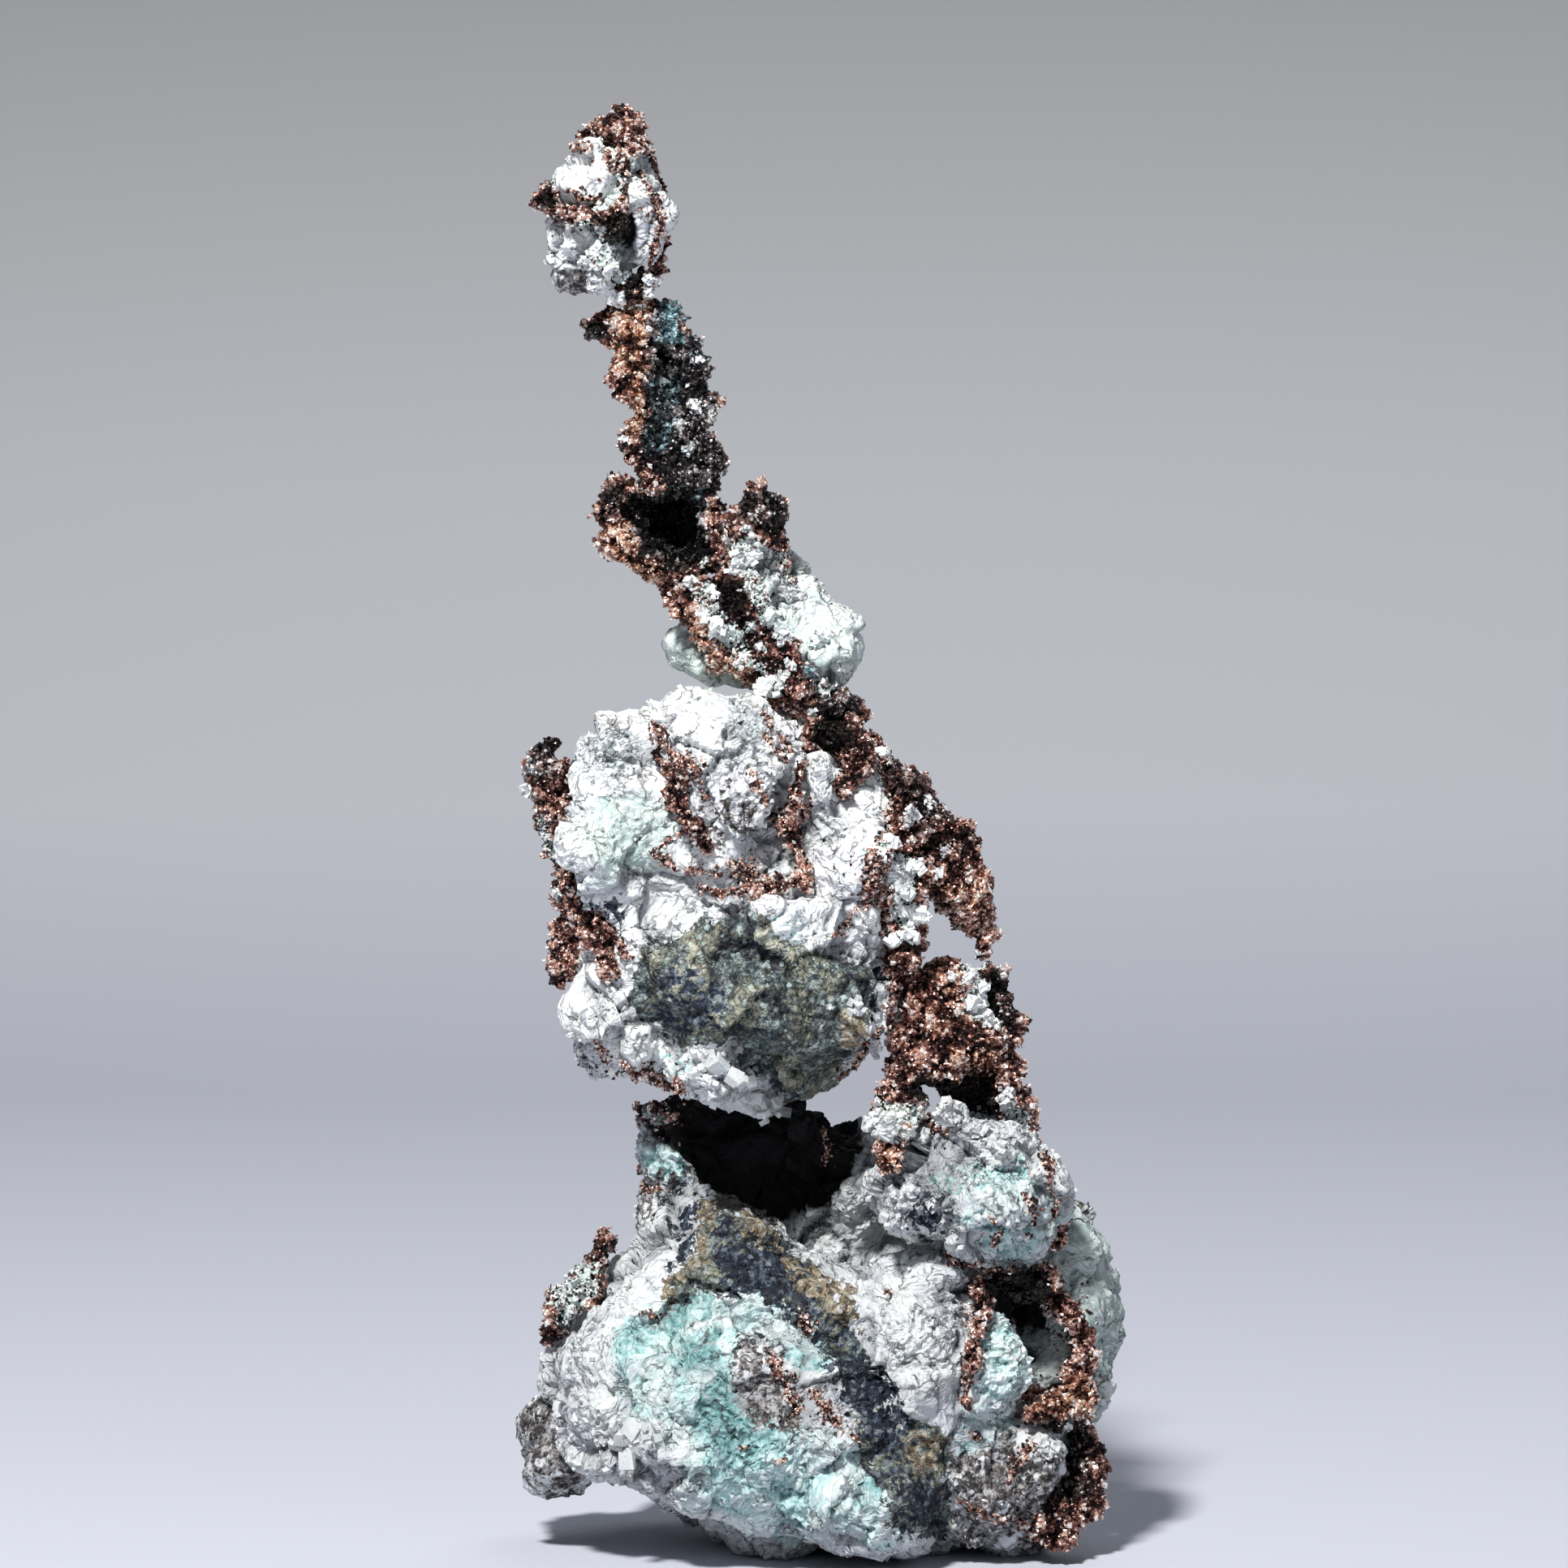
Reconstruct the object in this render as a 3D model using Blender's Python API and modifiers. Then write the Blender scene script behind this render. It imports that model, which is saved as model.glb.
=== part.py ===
"""A native copper specimen: branching copper grown through lumps of white and blue-green matrix.

It stands on the flat break under its base. The front, where the copper shows best, faces -Y, and
X runs to the right as seen from there. Lumps and branches are listed in millimetres, and the model
is built in metres.
"""

import math
import random

import bmesh
import bpy
from mathutils import Matrix, Vector, noise
from mathutils.bvhtree import BVHTree

MM = 0.001

# Driving dimensions, in millimetres. The lists below give a specimen 46 wide, 33 deep and 108 tall.
COPPER_CLEARANCE = 0.5  # how far a cutter stands off its piece, where copper meets copper
ROCK_CLEARANCE = 0.8  # and where the matrix meets its neighbours: 0.3 mm once both are coarse

ROCK_VOXEL = 0.65
ROCK_SMOOTHING = 6
ROCK_CELL = 6.5  # size of the lumps that the matrix breaks into
ROCK_RELIEF = 1.1  # depth of the creases between them
CREASE_SLOPE = 3.0  # how steep those creases are
CREASE_LEVEL = 0.75  # the height between lumps at which the skin stays where it was
KNOB_SHARE = 0.4  # size of the knobs on a lump, as a share of the lump
KNOB_RELIEF = 0.7  # their height, as a share of the creases' depth

COPPER_VOXEL = 0.42
COPPER_SMOOTHING = 2
COPPER_CELL = 1.6  # size of the knobs that copper grows in
COPPER_RELIEF = 0.7
MEAN_DISTANCE = 0.45  # mean distance to the nearest site of cell noise, in cells
CUTTER_VOXEL = 0.5

KNOT_STEP = 0.55  # spacing of the knots along a branch, as a share of its radius
KNOT_SCATTER = 0.42  # how far a knot strays from the branch, as a share of the radius
KNOT_SIZES = (0.72, 1.04)  # smallest and largest knot, as shares of the radius

GROUND_WIDTH = 100.0  # the block that cuts the flat foot
GROUND_DEPTH = 20.0

# Colours are linear RGB
WHITE = (0.80, 0.83, 0.82)
PALE_GREEN = (0.66, 0.80, 0.76)
COPPER = (0.62, 0.27, 0.17)

# A lump is x, y, z of its centre, its three half-widths, and its tilt about Y in degrees.
BASE_ROCK = [
    (1.5, 0.6, 9.8, 16.6, 13.2, 11.9, 3),
    (-14.2, -3.0, 12.6, 6.2, 9.0, 8.0, 12),
    (-12.0, -2.0, 18.4, 4.8, 7.0, 6.4, 25),
    (-19.0, 1.0, 7.6, 4.2, 7.0, 4.2, 10),
    (-4.6, -8.7, 10.6, 10.4, 7.4, 8.2, 12),
    (-6.2, -3.5, 20.6, 4.8, 6.6, 6.6, 0),
    (-2.4, -5.5, 17.6, 6.0, 6.4, 5.6, 20),
    (7.4, -5.0, 14.6, 7.6, 8.4, 8.4, 10),
    (12.6, -3.0, 6.6, 6.8, 8.8, 6.6, 0),
    (2.6, -10.0, 5.4, 6.6, 5.6, 4.9, 14),
    (-8.4, -9.9, 8.0, 6.2, 5.4, 4.6, 14),
    (12.9, -9.0, 14.8, 2.8, 2.8, 4.2, 0),
    (9.4, -9.9, 10.0, 3.0, 2.8, 2.6, 0),
    (5.8, -9.4, 15.2, 3.4, 3.2, 2.8, 20),
    (2.0, 7.6, 12.5, 15.0, 8.0, 12.0, 0),
    (-8.4, 7.2, 11.0, 8.4, 7.4, 8.6, 0),
    (3.4, 4.6, 26.4, 5.6, 6.0, 5.2, 10),
    (-6.0, 6.4, 28.5, 6.6, 5.4, 7.6, 0),
    (-11.2, -0.4, 27.0, 2.8, 3.6, 4.4, 0),
    (-11.6, 1.2, 31.6, 3.2, 3.8, 3.4, 0),
    (-0.8, 2.8, 31.2, 2.6, 3.2, 2.6, 0),
    (9.6, 6.0, 23.0, 6.0, 6.5, 5.6, 20),
]
RIGHT_LOBE = [
    (18.1, 1.8, 18.5, 4.6, 7.0, 7.9, -8),
    (17.9, 1.2, 12.9, 4.5, 6.0, 4.2, 0),
]
MIDDLE_ROCK = [
    (-7.2, 0.0, 54.6, 10.4, 10.6, 8.8, 0),
    (-5.2, -0.5, 41.8, 10.6, 10.4, 8.6, 0),
    (-15.0, -3.6, 57.2, 4.5, 5.4, 4.9, -30),
    (-15.0, -6.6, 52.6, 4.4, 4.2, 4.4, 0),
    (-8.8, -4.0, 60.7, 5.8, 5.4, 3.9, -8),
    (-8.4, -6.6, 56.6, 5.2, 5.0, 5.0, 0),
    (-2.6, -5.6, 57.6, 4.4, 5.0, 4.6, 0),
    (1.2, 0.4, 56.6, 5.0, 7.4, 5.6, 40),
    (2.2, -5.6, 50.6, 5.2, 5.8, 4.9, 0),
    (-3.4, -7.6, 48.2, 5.4, 4.4, 4.0, 0),
    (-14.4, -3.4, 46.8, 4.4, 5.8, 4.6, 0),
    (-15.4, -3.0, 40.0, 4.4, 6.0, 5.0, 0),
    (-5.0, -7.4, 43.0, 8.8, 4.9, 5.6, 6),
    (1.0, -6.2, 41.4, 5.0, 5.0, 4.9, 0),
    (3.6, -2.4, 43.2, 3.6, 7.0, 4.8, 0),
    (-8.2, -6.0, 36.4, 3.6, 4.0, 2.6, 0),
    (-3.2, -4.0, 34.9, 2.6, 3.2, 2.2, 0),
    (-5.0, 5.6, 46.0, 9.6, 6.0, 9.0, 0),
]
SIDE_NODULE = [
    (10.4, -8.4, 27.4, 6.4, 5.4, 4.8, 6),
    (7.2, -8.4, 31.0, 2.8, 3.0, 3.0, 0),
    (12.2, -8.4, 31.2, 3.2, 3.4, 3.0, 0),
    (14.9, -7.2, 26.4, 2.9, 4.0, 4.8, 0),
    (5.7, -8.4, 27.4, 2.2, 2.6, 3.2, 0),
]
NECK_ROCK = [
    (0.4, 1.4, 69.0, 3.9, 2.9, 2.2, 38),
    (-0.6, 0.6, 66.7, 3.9, 2.6, 1.7, 38),
    (-3.4, 2.2, 72.4, 2.2, 2.4, 2.6, 20),
    (-5.6, 2.8, 70.2, 3.4, 2.4, 2.4, 38),
    (-4.4, 3.0, 67.6, 4.4, 2.6, 2.4, 38),
    (-8.5, 2.0, 66.5, 3.8, 2.6, 2.3, 38),
    (-6.0, 2.2, 74.6, 1.8, 2.0, 2.4, 10),
]
TIP_CALCITE = [
    (-16.0, 0.2, 99.6, 3.4, 3.4, 4.6, 10),
    (-17.4, -2.4, 102.0, 3.1, 2.8, 3.3, 20),
    (-12.9, -2.0, 100.6, 1.9, 2.6, 3.7, -8),
    (-17.6, -2.0, 97.4, 2.2, 2.4, 1.8, 0),
    (-14.6, -2.6, 97.0, 1.4, 1.8, 1.4, -30),
    (-13.2, -0.8, 97.4, 2.0, 2.6, 2.8, 12),
    (-17.9, -0.4, 95.4, 2.5, 2.4, 3.1, -28),
    (-19.2, -1.0, 98.2, 1.6, 2.0, 2.4, 0),
]

# A branch is a run of points x, y, z and the branch's radius there. One piece can have several.
COPPER_TIP = [
    [(-15.2, -0.4, 107.4, 0.8), (-14.9, -0.9, 105.9, 1.4), (-14.2, -1.9, 104.6, 1.2),
     (-14.5, -3.6, 103.0, 0.7), (-14.9, -4.5, 101.2, 0.6), (-15.2, -4.4, 99.8, 0.7),
     (-15.6, -4.2, 98.2, 0.7), (-16.2, -3.4, 96.2, 1.0), (-15.8, -2.0, 94.8, 1.4),
     (-14.6, -1.0, 93.6, 1.5)],
    [(-15.0, -4.4, 99.6, 0.7), (-17.2, -4.9, 99.4, 0.7), (-19.2, -3.9, 99.5, 0.8),
     (-20.5, -2.2, 100.6, 1.0), (-20.4, 0.2, 101.4, 0.8), (-18.6, 1.6, 103.6, 0.8),
     (-15.6, 0.6, 105.4, 1.1)],
    [(-17.6, -1.6, 105.4, 0.8), (-15.2, -1.0, 105.9, 1.1)],
    [(-13.4, 0.4, 104.4, 1.0), (-11.8, 0.6, 101.2, 0.6), (-11.7, 0.4, 98.2, 0.6),
     (-12.3, -0.4, 95.6, 0.7), (-14.0, -0.6, 93.8, 1.2)],
    [(-15.0, 1.4, 105.0, 1.1), (-16.0, 3.4, 101.6, 0.9), (-15.2, 3.2, 97.6, 1.0),
     (-14.8, 1.2, 93.8, 1.3)],
]
COPPER_SPIRE = [
    [(-14.6, -0.5, 92.4, 1.6), (-13.9, -0.9, 90.3, 1.9), (-13.1, -0.9, 87.5, 2.0),
     (-12.6, -0.6, 84.5, 2.1), (-12.0, -0.2, 82.0, 2.4), (-11.4, 0.2, 80.2, 2.2)],
    [(-11.7, 0.9, 92.7, 1.2), (-11.5, 1.0, 90.6, 1.6), (-10.1, 0.8, 88.2, 1.8),
     (-10.3, 1.2, 85.8, 1.9), (-9.3, 0.9, 83.4, 1.7), (-7.9, 0.4, 81.3, 1.2),
     (-9.2, 0.5, 79.6, 1.5)],
    [(-17.6, -0.8, 91.5, 0.9), (-16.4, -0.9, 91.1, 1.0), (-14.8, -0.8, 90.6, 1.1)],
    [(-15.6, -1.0, 87.6, 1.0), (-14.8, -0.9, 86.6, 1.0), (-13.4, -0.7, 85.4, 1.2)],
    [(-14.9, -0.4, 82.6, 0.9), (-12.8, 0.0, 82.0, 1.4)],
    [(-12.6, 2.2, 90.6, 1.4), (-11.4, 2.6, 86.6, 1.7), (-10.8, 2.4, 82.4, 1.7)],
]
COPPER_CROOK = [
    [(-13.0, 0.2, 78.8, 1.4), (-15.2, -0.7, 79.0, 1.4), (-15.9, -0.9, 77.4, 1.4),
     (-14.6, 0.6, 76.4, 1.3)],
    [(-16.0, -1.3, 75.6, 1.1), (-14.4, -1.7, 74.7, 1.5), (-12.6, -1.4, 73.6, 1.5),
     (-11.2, -0.6, 72.6, 1.4)],
    [(-8.4, 0.2, 78.8, 1.3), (-7.9, -0.1, 77.2, 1.2), (-8.1, -0.2, 75.2, 1.3),
     (-9.0, -0.1, 73.4, 1.4)],
    [(-11.2, 3.4, 79.6, 1.9), (-11.6, 4.2, 76.6, 2.1), (-10.8, 3.4, 73.2, 1.9)],
    [(-14.6, 1.4, 78.6, 1.3), (-14.4, 2.6, 76.4, 1.3), (-13.4, 2.6, 74.0, 1.3)],
    [(-8.8, 2.6, 78.4, 1.3), (-8.8, 3.0, 75.4, 1.3)],
]
COPPER_NECK = [
    [(-10.4, 0.0, 72.0, 1.9), (-9.2, -0.9, 70.4, 1.9), (-7.6, -1.5, 68.2, 1.8),
     (-5.4, -1.8, 66.5, 1.8), (-3.2, -1.8, 65.0, 1.9), (-1.0, -1.4, 63.6, 2.0),
     (0.8, -1.0, 62.4, 2.0)],
    [(-7.6, -0.2, 74.6, 1.3), (-6.2, -1.0, 72.6, 1.5), (-5.0, -1.6, 70.6, 1.5),
     (-3.8, -2.0, 68.6, 1.4), (-2.4, -2.2, 66.6, 1.3)],
    [(-5.0, -0.4, 79.2, 1.1), (-4.4, -0.7, 77.8, 1.7), (-3.6, -0.7, 76.2, 1.3),
     (-5.2, -1.0, 75.2, 1.4), (-7.0, -0.6, 74.4, 1.3)],
    [(-3.6, -0.2, 76.0, 0.9), (-2.6, 0.2, 73.6, 0.7), (-2.0, 0.0, 71.8, 0.6)],
    [(-6.6, -0.4, 76.0, 1.2), (-6.3, -0.5, 77.6, 0.9)],
]
COPPER_SHOULDER = [
    [(1.9, -1.9, 61.8, 1.6), (2.8, -3.8, 60.4, 1.4), (2.6, -5.8, 58.4, 1.2),
     (1.5, -7.2, 56.8, 1.0)],
    [(1.4, -1.6, 61.8, 1.5), (-0.2, -4.9, 61.0, 1.1), (-1.0, -6.9, 59.8, 0.9)],
    [(4.9, -2.6, 58.6, 1.0), (6.4, -3.4, 57.0, 1.6), (7.6, -3.4, 54.8, 2.2),
     (8.8, -3.0, 52.2, 2.4), (10.0, -2.6, 49.9, 2.2), (11.2, -2.2, 47.6, 1.5),
     (11.8, -2.2, 45.6, 1.0), (11.6, -2.6, 44.2, 0.9)],
    [(6.4, -5.0, 53.6, 1.8), (5.4, -7.0, 51.4, 1.5), (5.6, -6.8, 49.0, 1.6),
     (6.4, -6.0, 46.6, 1.5), (5.8, -6.6, 44.8, 1.5)],
    [(8.8, -3.6, 51.4, 1.7), (6.6, -5.4, 51.0, 1.6)],
    [(2.6, 0.4, 61.4, 1.3), (5.0, 2.4, 58.0, 1.2), (7.0, 2.6, 54.6, 1.3),
     (8.8, 0.2, 52.0, 1.7)],
]
COPPER_FLANK = [
    [(6.0, -5.8, 42.9, 1.4), (7.6, -4.4, 42.2, 1.9), (9.3, -3.6, 43.0, 1.6),
     (10.2, -3.8, 40.8, 2.6), (10.2, -4.0, 38.6, 2.8), (10.9, -3.8, 36.8, 2.4)],
    [(10.8, -3.6, 37.4, 2.0), (13.0, -3.4, 38.0, 1.7), (14.1, -3.0, 40.2, 1.3),
     (13.2, -2.8, 42.4, 1.0), (11.2, -3.0, 43.2, 1.2)],
    [(12.4, -3.6, 36.4, 1.7), (14.0, -4.0, 34.2, 1.5), (14.9, -4.2, 32.2, 1.1),
     (16.2, -4.8, 29.2, 0.9), (17.2, -5.4, 26.2, 0.9), (17.4, -6.0, 23.2, 1.0)],
    [(9.0, -4.2, 36.8, 1.5), (6.6, -5.8, 35.8, 1.4), (6.0, -8.6, 34.2, 1.8),
     (5.4, -10.8, 32.2, 1.4), (4.8, -11.2, 29.8, 1.1)],
    [(7.4, -5.2, 41.8, 1.2), (5.9, -5.6, 39.2, 1.1), (5.7, -6.0, 36.8, 1.2)],
    [(10.6, -2.0, 36.0, 1.9), (11.4, -0.2, 33.0, 1.9), (12.0, 1.0, 29.4, 1.9)],
]
COPPER_LEFT_STRAND = [
    [(-19.6, -3.2, 60.8, 0.7), (-20.5, -3.2, 60.2, 0.8), (-20.7, -3.3, 59.0, 0.9),
     (-20.2, -3.4, 57.4, 1.6), (-19.6, -3.6, 55.4, 1.6), (-19.1, -4.0, 53.2, 1.3),
     (-18.8, -4.4, 50.8, 1.0), (-19.2, -4.0, 49.6, 1.1), (-18.5, -4.2, 48.0, 1.1),
     (-18.9, -4.0, 45.8, 1.1), (-19.3, -4.0, 43.4, 1.0)],
    [(-18.4, -5.2, 49.2, 1.0), (-17.0, -7.0, 46.8, 1.0), (-15.3, -8.2, 44.4, 1.0)],
]
COPPER_LOWER_BRANCH = [
    [(11.4, -8.6, 20.9, 1.0), (13.2, -8.8, 20.8, 1.1), (15.2, -8.0, 20.6, 1.2),
     (16.6, -7.0, 20.4, 1.2)],
    [(12.0, -9.4, 20.2, 1.0), (11.6, -11.2, 18.0, 0.8), (11.1, -12.4, 15.2, 0.7),
     (10.6, -12.8, 12.4, 0.7)],
    [(16.8, -6.6, 20.6, 1.1), (18.0, -5.8, 18.7, 1.0), (19.2, -5.6, 16.4, 0.9),
     (19.4, -5.8, 13.8, 0.9), (18.8, -6.8, 11.9, 1.3), (16.9, -8.4, 11.5, 1.3),
     (15.2, -9.8, 11.3, 1.0)],
]
COPPER_FOOT = [
    [(19.8, -4.2, 9.4, 1.3), (20.2, -3.8, 7.6, 1.6), (19.8, -4.2, 5.4, 1.6),
     (18.6, -7.0, 3.8, 1.4), (17.6, -9.0, 1.9, 1.2)],
    [(18.0, -7.4, 3.4, 1.2), (15.8, -9.2, 2.6, 1.1)],
]
COPPER_TUFT = [
    [(-15.4, -2.0, 23.8, 0.7), (-16.7, -2.4, 22.0, 1.1), (-18.1, -2.8, 19.8, 1.4),
     (-19.5, -3.0, 17.6, 1.3), (-20.1, -3.2, 15.8, 0.9)],
    [(-18.0, -2.8, 20.0, 1.2), (-16.6, -3.0, 18.8, 1.3)],
]
COPPER_BACK = [
    [(0.6, 6.2, 61.6, 1.4), (-1.8, 9.4, 59.6, 1.5), (-4.0, 11.2, 55.4, 1.6),
     (-3.2, 12.2, 51.0, 1.4), (-5.4, 12.4, 46.6, 1.6), (-4.2, 11.6, 42.0, 1.4),
     (-6.0, 12.2, 37.6, 1.5)],
    [(-4.0, 11.4, 54.0, 1.3), (-9.0, 10.8, 52.0, 1.2), (-13.2, 8.6, 50.4, 1.2)],
    [(-4.6, 12.2, 46.0, 1.3), (0.6, 10.8, 43.4, 1.3), (4.4, 7.2, 41.0, 1.2)],
]
COPPER_BASE_BACK = [
    [(-5.6, 10.8, 28.6, 1.3), (-3.0, 12.6, 23.6, 1.4), (-0.6, 14.3, 18.6, 1.4),
     (3.4, 14.9, 14.0, 1.5), (8.0, 13.9, 10.0, 1.4), (12.0, 11.5, 6.6, 1.3)],
    [(-0.4, 14.5, 18.0, 1.2), (-6.0, 14.1, 14.6, 1.2), (-10.6, 12.7, 10.4, 1.2)],
]

# These veins follow the face of the middle rock: x, z and radius. Their depth is read from the rock.
FACE_BLADE = [
    (-12.4, 60.4, 0.5), (-11.3, 58.6, 0.8), (-10.4, 56.8, 1.2), (-9.2, 54.8, 1.2), (-8.3, 53.0, 0.9),
]
FACE_VEIN = [
    (-1.6, 59.0, 0.8), (-2.1, 57.0, 0.8), (-2.7, 54.8, 0.8), (-1.6, 52.6, 0.8), (-0.8, 50.8, 0.9),
    (-3.4, 50.2, 0.9), (-6.8, 49.6, 0.7), (-9.6, 50.2, 0.6),
]

# Each piece's branches and its triangle count
PIECES = {
    "copper_tip": (COPPER_TIP, 520),
    "copper_spire": (COPPER_SPIRE, 620),
    "copper_crook": (COPPER_CROOK, 440),
    "copper_neck": (COPPER_NECK, 680),
    "copper_shoulder": (COPPER_SHOULDER, 640),
    "copper_flank": (COPPER_FLANK, 640),
    "copper_left_strand": (COPPER_LEFT_STRAND, 300),
    "copper_lower_branch": (COPPER_LOWER_BRANCH, 300),
    "copper_foot": (COPPER_FOOT, 180),
    "copper_tuft": (COPPER_TUFT, 140),
    "copper_back_branch": (COPPER_BACK, 340),
    "copper_base_back": (COPPER_BASE_BACK, 260),
}
FACE_PIECES = {
    "copper_face_blade": (FACE_BLADE, 140),
    "copper_face_vein": (FACE_VEIN, 220),
}
# A rock makes room for the ones listed before it.
ROCKS = {
    "tip_calcite": (TIP_CALCITE, 200),
    "neck_rock": (NECK_ROCK, 420),
    "side_nodule": (SIDE_NODULE, 380),
    "right_lobe": (RIGHT_LOBE, 220),
    "base_rock": (BASE_ROCK, 1660),
    "middle_rock": (MIDDLE_ROCK, 1600),
}
GREEN_ROCKS = ("neck_rock", "right_lobe")


def clear_scene():
    for obj in list(bpy.data.objects):
        bpy.data.objects.remove(obj)


def make_collection(name):
    made = bpy.data.collections.new(name)
    bpy.context.scene.collection.children.link(made)
    return made


def make_material(name, colour, roughness, metallic):
    made = bpy.data.materials.new(name)
    made.use_nodes = True
    shader = made.node_tree.nodes["Principled BSDF"]
    shader.inputs["Base Color"].default_value = (*colour, 1.0)
    shader.inputs["Roughness"].default_value = roughness
    shader.inputs["Metallic"].default_value = metallic
    made.diffuse_color = (*colour, 1.0)
    return made


def add_object(name, mesh, collection):
    obj = bpy.data.objects.new(name, mesh)
    collection.objects.link(obj)
    return obj


def mesh_of_balls(name, placements, subdivisions=2):
    """One mesh of unit balls, each moved by its own matrix."""
    shell = bmesh.new()
    for matrix in placements:
        bmesh.ops.create_icosphere(shell, subdivisions=subdivisions, radius=1.0, matrix=matrix)
    mesh = bpy.data.meshes.new(name)
    shell.to_mesh(mesh)
    shell.free()
    return mesh


def lump_matrix(lump):
    x, y, z, wide, deep, tall, tilt = lump
    turn = Matrix.Rotation(math.radians(tilt), 4, "Y")
    size = Matrix.Diagonal((wide * MM, deep * MM, tall * MM, 1.0))
    return Matrix.Translation(Vector((x, y, z)) * MM) @ turn @ size


def knot_matrices(branches, seed):
    """Small balls strung unevenly along the branches, as copper grows in knots."""
    draw = random.Random(seed)
    found = []
    for branch in branches:
        for (*a, wide_a), (*b, wide_b) in zip(branch, branch[1:]):
            a, b = Vector(a), Vector(b)
            steps = max(1, round((b - a).length / (KNOT_STEP * 0.5 * (wide_a + wide_b))))
            for step in range(steps + 1):
                share = step / steps
                radius = wide_a + (wide_b - wide_a) * share
                off = Vector([draw.uniform(-KNOT_SCATTER, KNOT_SCATTER) for _ in range(3)]) * radius
                size = radius * draw.uniform(*KNOT_SIZES) * MM
                place = Matrix.Translation((a.lerp(b, share) + off) * MM)
                found.append(place @ Matrix.Scale(size, 4))
    return found


def apply_modifiers(obj):
    """Replaces the object's mesh by what its modifiers make of it."""
    graph = bpy.context.evaluated_depsgraph_get()
    done = bpy.data.meshes.new_from_object(obj.evaluated_get(graph))
    obj.modifiers.clear()
    obj.data = done


def fuse(obj, voxel_mm, smooth_steps):
    """Joins overlapping balls into one skin and softens the creases between them."""
    remesh = obj.modifiers.new("Fuse", "REMESH")
    remesh.mode = "VOXEL"
    remesh.voxel_size = voxel_mm * MM
    soften = obj.modifiers.new("Soften", "SMOOTH")
    soften.factor = 0.5
    soften.iterations = smooth_steps
    apply_modifiers(obj)


def push_out(obj, amount_at):
    """Moves each vertex along its normal by amount_at(place in mm), in mm."""
    normals = [v.normal.copy() for v in obj.data.vertices]
    for vertex, normal in zip(obj.data.vertices, normals):
        vertex.co += normal * amount_at(vertex.co / MM) * MM
    obj.data.update()


def rock_relief(place):
    """Blocky lumps with creases between them, and smaller knobs on the lumps."""
    nearest, second = noise.voronoi(place / ROCK_CELL)[0][:2]
    crease = min(1.0, CREASE_SLOPE * (second - nearest))
    elsewhere = Vector((7.3, 1.1, 4.9))
    knob = noise.voronoi(place / (KNOB_SHARE * ROCK_CELL) + elsewhere)[0][0]
    return ROCK_RELIEF * (crease - CREASE_LEVEL + KNOB_RELIEF * (MEAN_DISTANCE - knob))


def copper_relief(place):
    """Rounded knobs, one to each cell."""
    return COPPER_RELIEF * (MEAN_DISTANCE - noise.voronoi(place / COPPER_CELL)[0][0])


def reduce_to(obj, triangles):
    obj.data.calc_loop_triangles()
    now = len(obj.data.loop_triangles)
    thin = obj.modifiers.new("Reduce", "DECIMATE")
    thin.ratio = min(1.0, triangles / now)
    thin.use_collapse_triangulate = True
    apply_modifiers(obj)


def keep_largest_shell(obj):
    """Drops crumbs that a cut has left loose."""
    shell = bmesh.new()
    shell.from_mesh(obj.data)
    unseen = set(shell.verts)
    groups = []
    while unseen:
        stack = [unseen.pop()]
        group = set(stack)
        while stack:
            for edge in stack.pop().link_edges:
                for vertex in edge.verts:
                    if vertex in unseen:
                        unseen.remove(vertex)
                        group.add(vertex)
                        stack.append(vertex)
        groups.append(group)
    keep = max(groups, key=len)
    bmesh.ops.delete(shell, geom=[v for v in shell.verts if v not in keep], context="VERTS")
    shell.to_mesh(obj.data)
    shell.free()


def add_cutter(obj, clearance, collection):
    """A copy of obj that stands off it, to make room for it in a neighbour."""
    cutter = add_object(f"{obj.name}_clearance", obj.data.copy(), collection)
    push_out(cutter, lambda place: clearance)
    fuse(cutter, CUTTER_VOXEL, 0)
    cutter.hide_render = True
    cutter.display_type = "WIRE"
    return cutter


def surface_of(obj):
    places = [v.co for v in obj.data.vertices]
    faces = [p.vertices for p in obj.data.polygons]
    return BVHTree.FromPolygons(places, faces)


def cut(obj, cutters, solver):
    """Takes the cutters whose surface crosses obj's out of it. True when there was one."""
    skin = surface_of(obj)
    near = [cutter for cutter in cutters if skin.overlap(surface_of(cutter))]
    for cutter in near:
        taken = obj.modifiers.new("Clear", "BOOLEAN")
        taken.operation = "DIFFERENCE"
        taken.solver = solver
        taken.object = cutter
    apply_modifiers(obj)
    return bool(near)


def make_room(obj, cutters, voxel_mm):
    """Takes the neighbours' cutters out of obj and leaves it one even closed shell."""
    # The exact solver loses whole shells where two dense knobbly ones cross
    if cut(obj, cutters, "MANIFOLD"):
        fuse(obj, voxel_mm, 0)
    keep_largest_shell(obj)


def coarsen(obj, triangles, ground, look):
    """Brings obj down to its triangle count, flat underneath where it reaches the ground."""
    reduce_to(obj, triangles)
    cut(obj, [ground], "EXACT")
    obj.data.materials.clear()
    obj.data.materials.append(look)


def make_rock(name, lumps, collection):
    rock = add_object(name, mesh_of_balls(name, map(lump_matrix, lumps), 3), collection)
    fuse(rock, ROCK_VOXEL, ROCK_SMOOTHING)
    push_out(rock, rock_relief)
    return rock


def make_copper(name, branches, seed, collection):
    copper = add_object(name, mesh_of_balls(name, knot_matrices(branches, seed)), collection)
    fuse(copper, COPPER_VOXEL, COPPER_SMOOTHING)
    push_out(copper, copper_relief)
    return copper


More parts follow.
